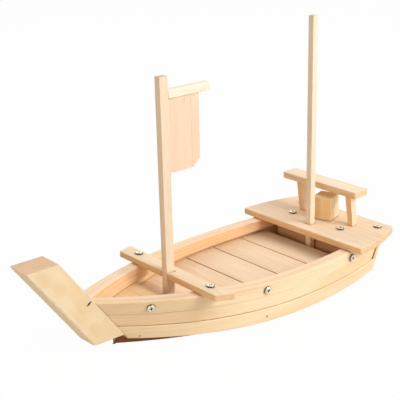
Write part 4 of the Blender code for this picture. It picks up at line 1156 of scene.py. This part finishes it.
def make_stern_deck():
    """Deck board with its hole for the mast, which is upright and so leans in the deck's own frame."""
    half = STERN_MAST_SIDE / 2 + MAST_PLAY
    reach = half / math.cos(STERN_DECK_TILT)
    heights = (0.0, STERN_DECK_THICKNESS)
    middles = [MAST_ALONG + height * math.tan(STERN_DECK_TILT) for height in heights]
    holes = [(middle - reach, middle + reach) for middle in middles]
    deck = holed_plate(stern_deck_side(), heights, holes, half)
    board("stern_deck", deck, "deck", Y, X, DECK_ROUND, DECK_FRAME)


def make_bench():
    """Bar on two legs."""
    leg_low = STERN_DECK_THICKNESS + GAP
    leg_high = leg_low + LEG_LENGTH
    bar_low = leg_high + GAP
    start = BENCH_OFFSET - BENCH_LENGTH / 2
    bar = box(
        (BENCH_FRONT, start, bar_low),
        (BENCH_FRONT + BENCH_WIDTH, start + BENCH_LENGTH, bar_low + BENCH_THICKNESS),
    )
    board("bench_bar", bar, "cream", Y, X, BOARD_ROUND, DECK_FRAME)
    for side_name, side in SIDES.items():
        foot_y = side * LEG_SPACING / 2 + LEG_FOOT_SHIFT
        rings = []
        ends = ((leg_low, foot_y, LEG_FOOT_WIDTH / 2), (leg_high, foot_y + LEG_LEAN, LEG_TOP_WIDTH / 2))
        for z, middle, half in ends:
            y0 = middle - half
            y1 = middle + half
            aft = LEG_FRONT + LEG_DEPTH
            rings.append([(LEG_FRONT, y0, z), (aft, y0, z), (aft, y1, z), (LEG_FRONT, y1, z)])
        board(f"bench_leg_{side_name}", loft(rings), "rail", Z, X, SEAM_ROUND, DECK_FRAME)


def make_block():
    """Block that turns on the stern deck."""
    half = BLOCK_SIDE / 2
    place = Matrix.Translation((BLOCK_ALONG, 0.0, STERN_DECK_THICKNESS + GAP))
    turn = Matrix.Rotation(BLOCK_TURN, 4, "Z")
    block = box((-half, -half, 0.0), (half, half, BLOCK_HEIGHT))
    frame_here = DECK_FRAME @ place @ turn
    board("stern_block", block, "block", Z, X, BOARD_ROUND, frame_here, "stern_block")


# Fasteners: local Z points out of the wood, and local z = 0 is the wood's surface

# Arms of the recess: width at the middle and its loss to the end, then where sides and ends start to ease
ARM_WIDTH, ARM_TAPER = 1.25, 0.45
ARM_SIDE, ARM_SIDE_EASE = 1.12, 0.24
ARM_END, ARM_END_EASE = 1.06, 0.16
ARM_RISE = 0.35
# The pan head: share of the radius where its shoulder starts, and how far crown and shoulder fall
HEAD_SHOULDER, HEAD_CROWN, HEAD_FALL, HEAD_FALL_POWER = 0.50, 0.05, 0.45, 2.6
HEAD_RIM, HEAD_FOOT = 0.225, 0.985      # height of the rim, radius of the underside
SCREW_RINGS, SCREW_SEGMENTS = 34, 96
NAIL_RINGS, NAIL_SEGMENTS = 8, 32
NAIL_CROWN, NAIL_STUB = 0.6, 0.6        # fall of the head's dome, radius of the stub
STUB_END = -PLANK_THICKNESS / 2


def smooth_step(value):
    value = min(1.0, max(0.0, value))
    return value * value * (3.0 - 2.0 * value)


def recess_depth(x, y):
    """Depth of the cross recess, whose arms taper outwards and slope in to the middle."""
    deepest = 0.0
    for along, across in ((x, y), (y, x)):
        reach = abs(along) / (RECESS_LENGTH / 2)
        width = RECESS_WIDTH / 2 * (ARM_WIDTH - ARM_TAPER * reach)
        beside = smooth_step((ARM_SIDE - abs(across) / width) / ARM_SIDE_EASE)
        inside = beside * smooth_step((ARM_END - reach) / ARM_END_EASE)
        deepest = max(deepest, inside * RECESS_DEPTH * (1.0 - ARM_RISE * reach))
    return deepest


def head_height(share):
    """Height of a pan head at a share of its radius."""
    shoulder = max(0.0, share - HEAD_SHOULDER) / (1.0 - HEAD_SHOULDER)
    return SCREW_HEAD_HEIGHT * (1.0 - HEAD_CROWN * share ** 2 - HEAD_FALL * shoulder ** HEAD_FALL_POWER)


def lathe_mesh(name, rings, segments, finish, recess_share=flat(0.0)):
    """Turned body from rings of (radius, height function of x and y), closed by a flat underside."""
    made = bmesh.new()
    recess = made.verts.layers.float.new("recess")
    centre = made.verts.new((0.0, 0.0, rings[0][1](0.0, 0.0)))
    loops = []
    for radius, height in rings[1:]:
        loop = []
        for i in range(segments):
            turn = 2 * math.pi * i / segments
            x = radius * math.cos(turn)
            y = radius * math.sin(turn)
            loop.append(made.verts.new((x, y, height(x, y))))
        loops.append(loop)
    for i in range(segments):
        j = (i + 1) % segments
        made.faces.new((centre, loops[0][i], loops[0][j]))
        for near, far in zip(loops, loops[1:]):
            made.faces.new((near[i], far[i], far[j], near[j]))
    foot = made.faces.new(loops[-1])
    for edge in foot.edges:
        edge.smooth = False
    for vert in made.verts:
        vert[recess] = recess_share(vert.co.x, vert.co.y)
    bmesh.ops.recalc_face_normals(made, faces=made.faces)
    return to_mesh(made, name, finish)


def screw_mesh():
    """Pan head with a cross recess and a short stub of its shank in the wood."""

    def crown(x, y):
        return GAP + head_height(math.hypot(x, y) / SCREW_HEAD_RADIUS) - recess_depth(x, y)

    def recess_share(x, y):
        return recess_depth(x, y) / RECESS_DEPTH

    rings = [(SCREW_HEAD_RADIUS * i / SCREW_RINGS, crown) for i in range(SCREW_RINGS + 1)]
    rings.append((SCREW_HEAD_RADIUS, flat(GAP + HEAD_RIM * SCREW_HEAD_HEIGHT)))
    rings.append((HEAD_FOOT * SCREW_HEAD_RADIUS, flat(GAP)))
    rings.append((SCREW_SHANK_RADIUS, flat(GAP)))
    rings.append((SCREW_SHANK_RADIUS, flat(STUB_END)))
    return lathe_mesh("screw_shown", rings, SCREW_SEGMENTS, STEEL, recess_share)


def nail_mesh():
    """Low domed nail head with a short stub in the wood."""

    def crown(x, y):
        share = math.hypot(x, y) / NAIL_HEAD_RADIUS
        return GAP + NAIL_HEAD_HEIGHT * (1.0 - NAIL_CROWN * share ** 2)

    rings = [(NAIL_HEAD_RADIUS * i / NAIL_RINGS, crown) for i in range(NAIL_RINGS + 1)]
    rings.append((NAIL_HEAD_RADIUS, flat(GAP)))
    rings.append((NAIL_STUB * NAIL_HEAD_RADIUS, flat(GAP)))
    rings.append((NAIL_STUB * NAIL_HEAD_RADIUS, flat(STUB_END)))
    return lathe_mesh("nail_shown", rings, NAIL_SEGMENTS, NAIL_STEEL)


def face_point(x, share, low, high):
    """Point on the flat between two edges of a strake's outer face, starboard side."""
    part = (share - low) / (high - low)
    y = (1.0 - part) * outer_y(x, low) + part * outer_y(x, high)
    return Vector((x, y, edge_z(x, share)))


def side_place(x, share, low, high, side, depth):
    """Frame on a strake's outer face, pointing square out of it, this deep inside the hull's outline."""
    along = face_point(x + SLOPE_STEP, share, low, high) - face_point(x - SLOPE_STEP, share, low, high)
    up = face_point(x, high, low, high) - face_point(x, low, low, high)
    out = up.cross(along).normalized()
    mirror = Vector((1.0, side, 1.0))
    point = (face_point(x, share, low, high) - out * depth) * mirror
    turn = (out * mirror).to_track_quat("Z", "Y").to_matrix().to_4x4()
    return Matrix.Translation(point) @ turn


def screw_places():
    """Frame of every screw, by its node's name."""
    places = {}
    under_z = stern_deck_under_z(stern_end(1.0)) - DECK_SCREW_BITE / 2
    aft_x = plank_end_x(under_z) + (GAP + TRANSOM_THICKNESS / 2) / math.cos(TRANSOM_RAKE)
    share = (HIGH_SEAM + 1.0) / 2
    for side_name, side in SIDES.items():
        beam_y = side * inset_y(BEAM_FRONT_X + BEAM_SCREW_ALONG, 1.0, PLANK_THICKNESS / 2)
        on_beam = Matrix.Translation((BEAM_SCREW_ALONG, beam_y, BEAM_THICKNESS))
        aft_y = STERN_HALF_BREADTH - AFT_SCREW_INSETS[side_name]
        places[f"crossbeam_screw_{side_name}"] = BEAM_FRAME @ on_beam
        for end, x, y in (("front", BULKHEAD_X, FRONT_DECK_SCREW_Y), ("aft", aft_x, aft_y)):
            along = (x - STERN_DECK_FRONT_X) / math.cos(STERN_DECK_TILT)
            on_deck = Matrix.Translation((along, side * y, STERN_DECK_THICKNESS))
            places[f"stern_deck_screw_{end}_{side_name}"] = DECK_FRAME @ on_deck
        for number, x in enumerate(SIDE_SCREW_X, 1):
            places[f"{side_name}_side_screw_{number}"] = side_place(x, share, HIGH_SEAM, 1.0, side, 0.0)
    under_deck = Matrix.Translation((BLOCK_ALONG, 0.0, 0.0)) @ Matrix.Rotation(math.pi, 4, "X")
    places["block_pivot_screw"] = DECK_FRAME @ under_deck
    return places


def nail_places():
    places = {}
    for side_name, side in SIDES.items():
        for number, (x, z) in enumerate(NAIL_SPOTS, 1):
            spot = side_place(x, share_at(x, z), 0.0, LOW_SEAM, side, TOP_STRAKE_STEP)
            places[f"{side_name}_nail_{number}"] = spot
    return places


def place_fasteners(mesh, places):
    """Sets one mesh at each place, each turned as it happened to be driven."""
    for name, place in places.items():
        item = show(f"{name}_shown", mesh)
        driven = random.Random(name).uniform(0.0, math.pi / 2)
        item.matrix_world = place @ Matrix.Rotation(driven, 4, "Z")
        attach(item, "hull")
        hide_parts(name)


def dress_kept_nodes():
    """The small pieces under the decks keep their own shape."""
    kept = [
        "front_mast_step", "stern_mast_step", "bow_deck_fore_batten", "bow_deck_aft_batten",
        "port_deck_ledger", "starboard_deck_ledger",
    ]
    for name in kept:
        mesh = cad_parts[name].data
        mesh.materials.clear()
        mesh.materials.append(PINE["kept"])


# Studio

CAMERA_PLACE = (-0.67506, -0.79650, 0.50475)
CAMERA_TURN = math.radians(-40.106)
CAMERA_RISE = math.radians(19.321)
CAMERA_ROLL = math.radians(-1.434)
CAMERA_LENS = 84.93
SENSOR_WIDTH = 36.0
NEAREST_SEEN = 0.01
WHITE = (1.0, 1.0, 1.0, 1.0)
FLOOR_HALF = 4.0
FLOOR_TONE = (0.70, 0.68, 0.65, 1.0)
FLOOR_WHITE = 0.975             # share of white in what the camera sees of the floor
WORLD_LEVEL = 0.58
BOW_LEVEL = 0.46
BOW_LIGHT = (1.0, 0.90, 0.78, 1.0)
BOW_EDGES = (-0.9, 0.4)         # headings between which the light changes from the bow's to the world's
TARGET = Vector((0.0, 0.0, 0.09))
# Softboxes: name, place, width, height, watts, colour
SOFTBOXES = (
    ("key", (0.70, -1.72, 1.32), 1.1, 1.1, 33.0, (1.0, 0.985, 0.96)),
    ("fill", (-1.70, -0.35, 0.42), 1.2, 0.6, 4.5, (1.0, 0.84, 0.64)),
    ("back", (0.60, 1.70, 1.30), 1.4, 1.0, 10.0, (1.0, 0.97, 0.93)),
)


def make_camera():
    """Camera at the photograph's angle."""
    data = bpy.data.cameras.new("camera")
    data.lens = CAMERA_LENS
    data.sensor_width = SENSOR_WIDTH
    data.clip_start = NEAREST_SEEN
    item = show("camera", data)
    upward = Matrix.Rotation(math.pi / 2 - CAMERA_RISE, 4, "X") @ Matrix.Rotation(CAMERA_ROLL, 4, "Z")
    item.matrix_world = Matrix.Translation(CAMERA_PLACE) @ Matrix.Rotation(CAMERA_TURN, 4, "Z") @ upward
    bpy.context.scene.camera = item


def seen_directly(graph):
    """One for rays from the camera, or mirrored or passed on by a glossy or clear surface."""
    path = graph.add("ShaderNodeLightPath").outputs
    seen = graph.math("MAXIMUM", path["Is Camera Ray"], path["Is Glossy Ray"])
    return graph.math("MAXIMUM", seen, path["Is Transmission Ray"])


def make_floor():
    """Pale floor that shows nearly white and keeps the boat's soft shadow."""
    made = bmesh.new()
    half = FLOOR_HALF
    corners = ((-half, -half), (half, -half), (half, half), (-half, half))
    made.faces.new([made.verts.new((x, y, 0.0)) for x, y in corners])
    finish, graph, shader = new_material("floor")
    finish.node_tree.nodes.remove(shader)
    matt = graph.add("ShaderNodeBsdfDiffuse", {"Color": FLOOR_TONE}).outputs[0]
    white = graph.add("ShaderNodeEmission", {"Color": WHITE, "Strength": 1.0}).outputs[0]
    share = graph.math("MULTIPLY", seen_directly(graph), FLOOR_WHITE)
    mixed = graph.add("ShaderNodeMixShader", {0: share, 1: matt, 2: white}).outputs[0]
    graph.put(finish.node_tree.nodes["Material Output"].inputs["Surface"], mixed)
    item = show("floor", to_mesh(made, "floor", finish))


def make_world():
    """Even pale surroundings that show white behind the boat, dimmer and warmer ahead of the bow."""
    world = bpy.data.worlds.new("studio")
    world.use_nodes = True
    bpy.context.scene.world = world
    graph = Graph(world.node_tree)
    shader = world.node_tree.nodes["Background"]
    seen = seen_directly(graph)
    heading = graph.add("ShaderNodeTexCoord").outputs["Generated"]
    aft = graph.add("ShaderNodeSeparateXYZ", {"Vector": heading}).outputs["X"]
    colour = graph.blend(graph.spread(aft, *BOW_EDGES), BOW_LIGHT, WHITE)
    level = graph.spread(aft, *BOW_EDGES, BOW_LEVEL, WORLD_LEVEL)
    graph.put(shader.inputs["Color"], graph.blend(seen, colour, WHITE))
    graph.put(shader.inputs["Strength"], graph.math("MAXIMUM", level, seen))


def make_lights():
    for name, place, width, height, watts, colour in SOFTBOXES:
        data = bpy.data.lights.new(name, "AREA")
        data.shape = "RECTANGLE"
        data.size = width
        data.size_y = height
        data.energy = watts
        data.color = colour
        aim = (TARGET - Vector(place)).to_track_quat("-Z", "Y").to_matrix().to_4x4()
        show(name, data).matrix_world = Matrix.Translation(place) @ aim


def build():
    make_camera()
    make_planking()
    make_stem()
    make_transom()
    make_bottom_board()
    make_slats()
    make_bow_deck()
    make_bulkhead()
    make_crossbeam()
    make_masts()
    make_stern_deck()
    make_bench()
    make_block()
    place_fasteners(screw_mesh(), screw_places())
    place_fasteners(nail_mesh(), nail_places())
    dress_kept_nodes()
    make_floor()
    make_world()
    make_lights()
    bpy.context.scene.view_settings.view_transform = "Standard"


build()
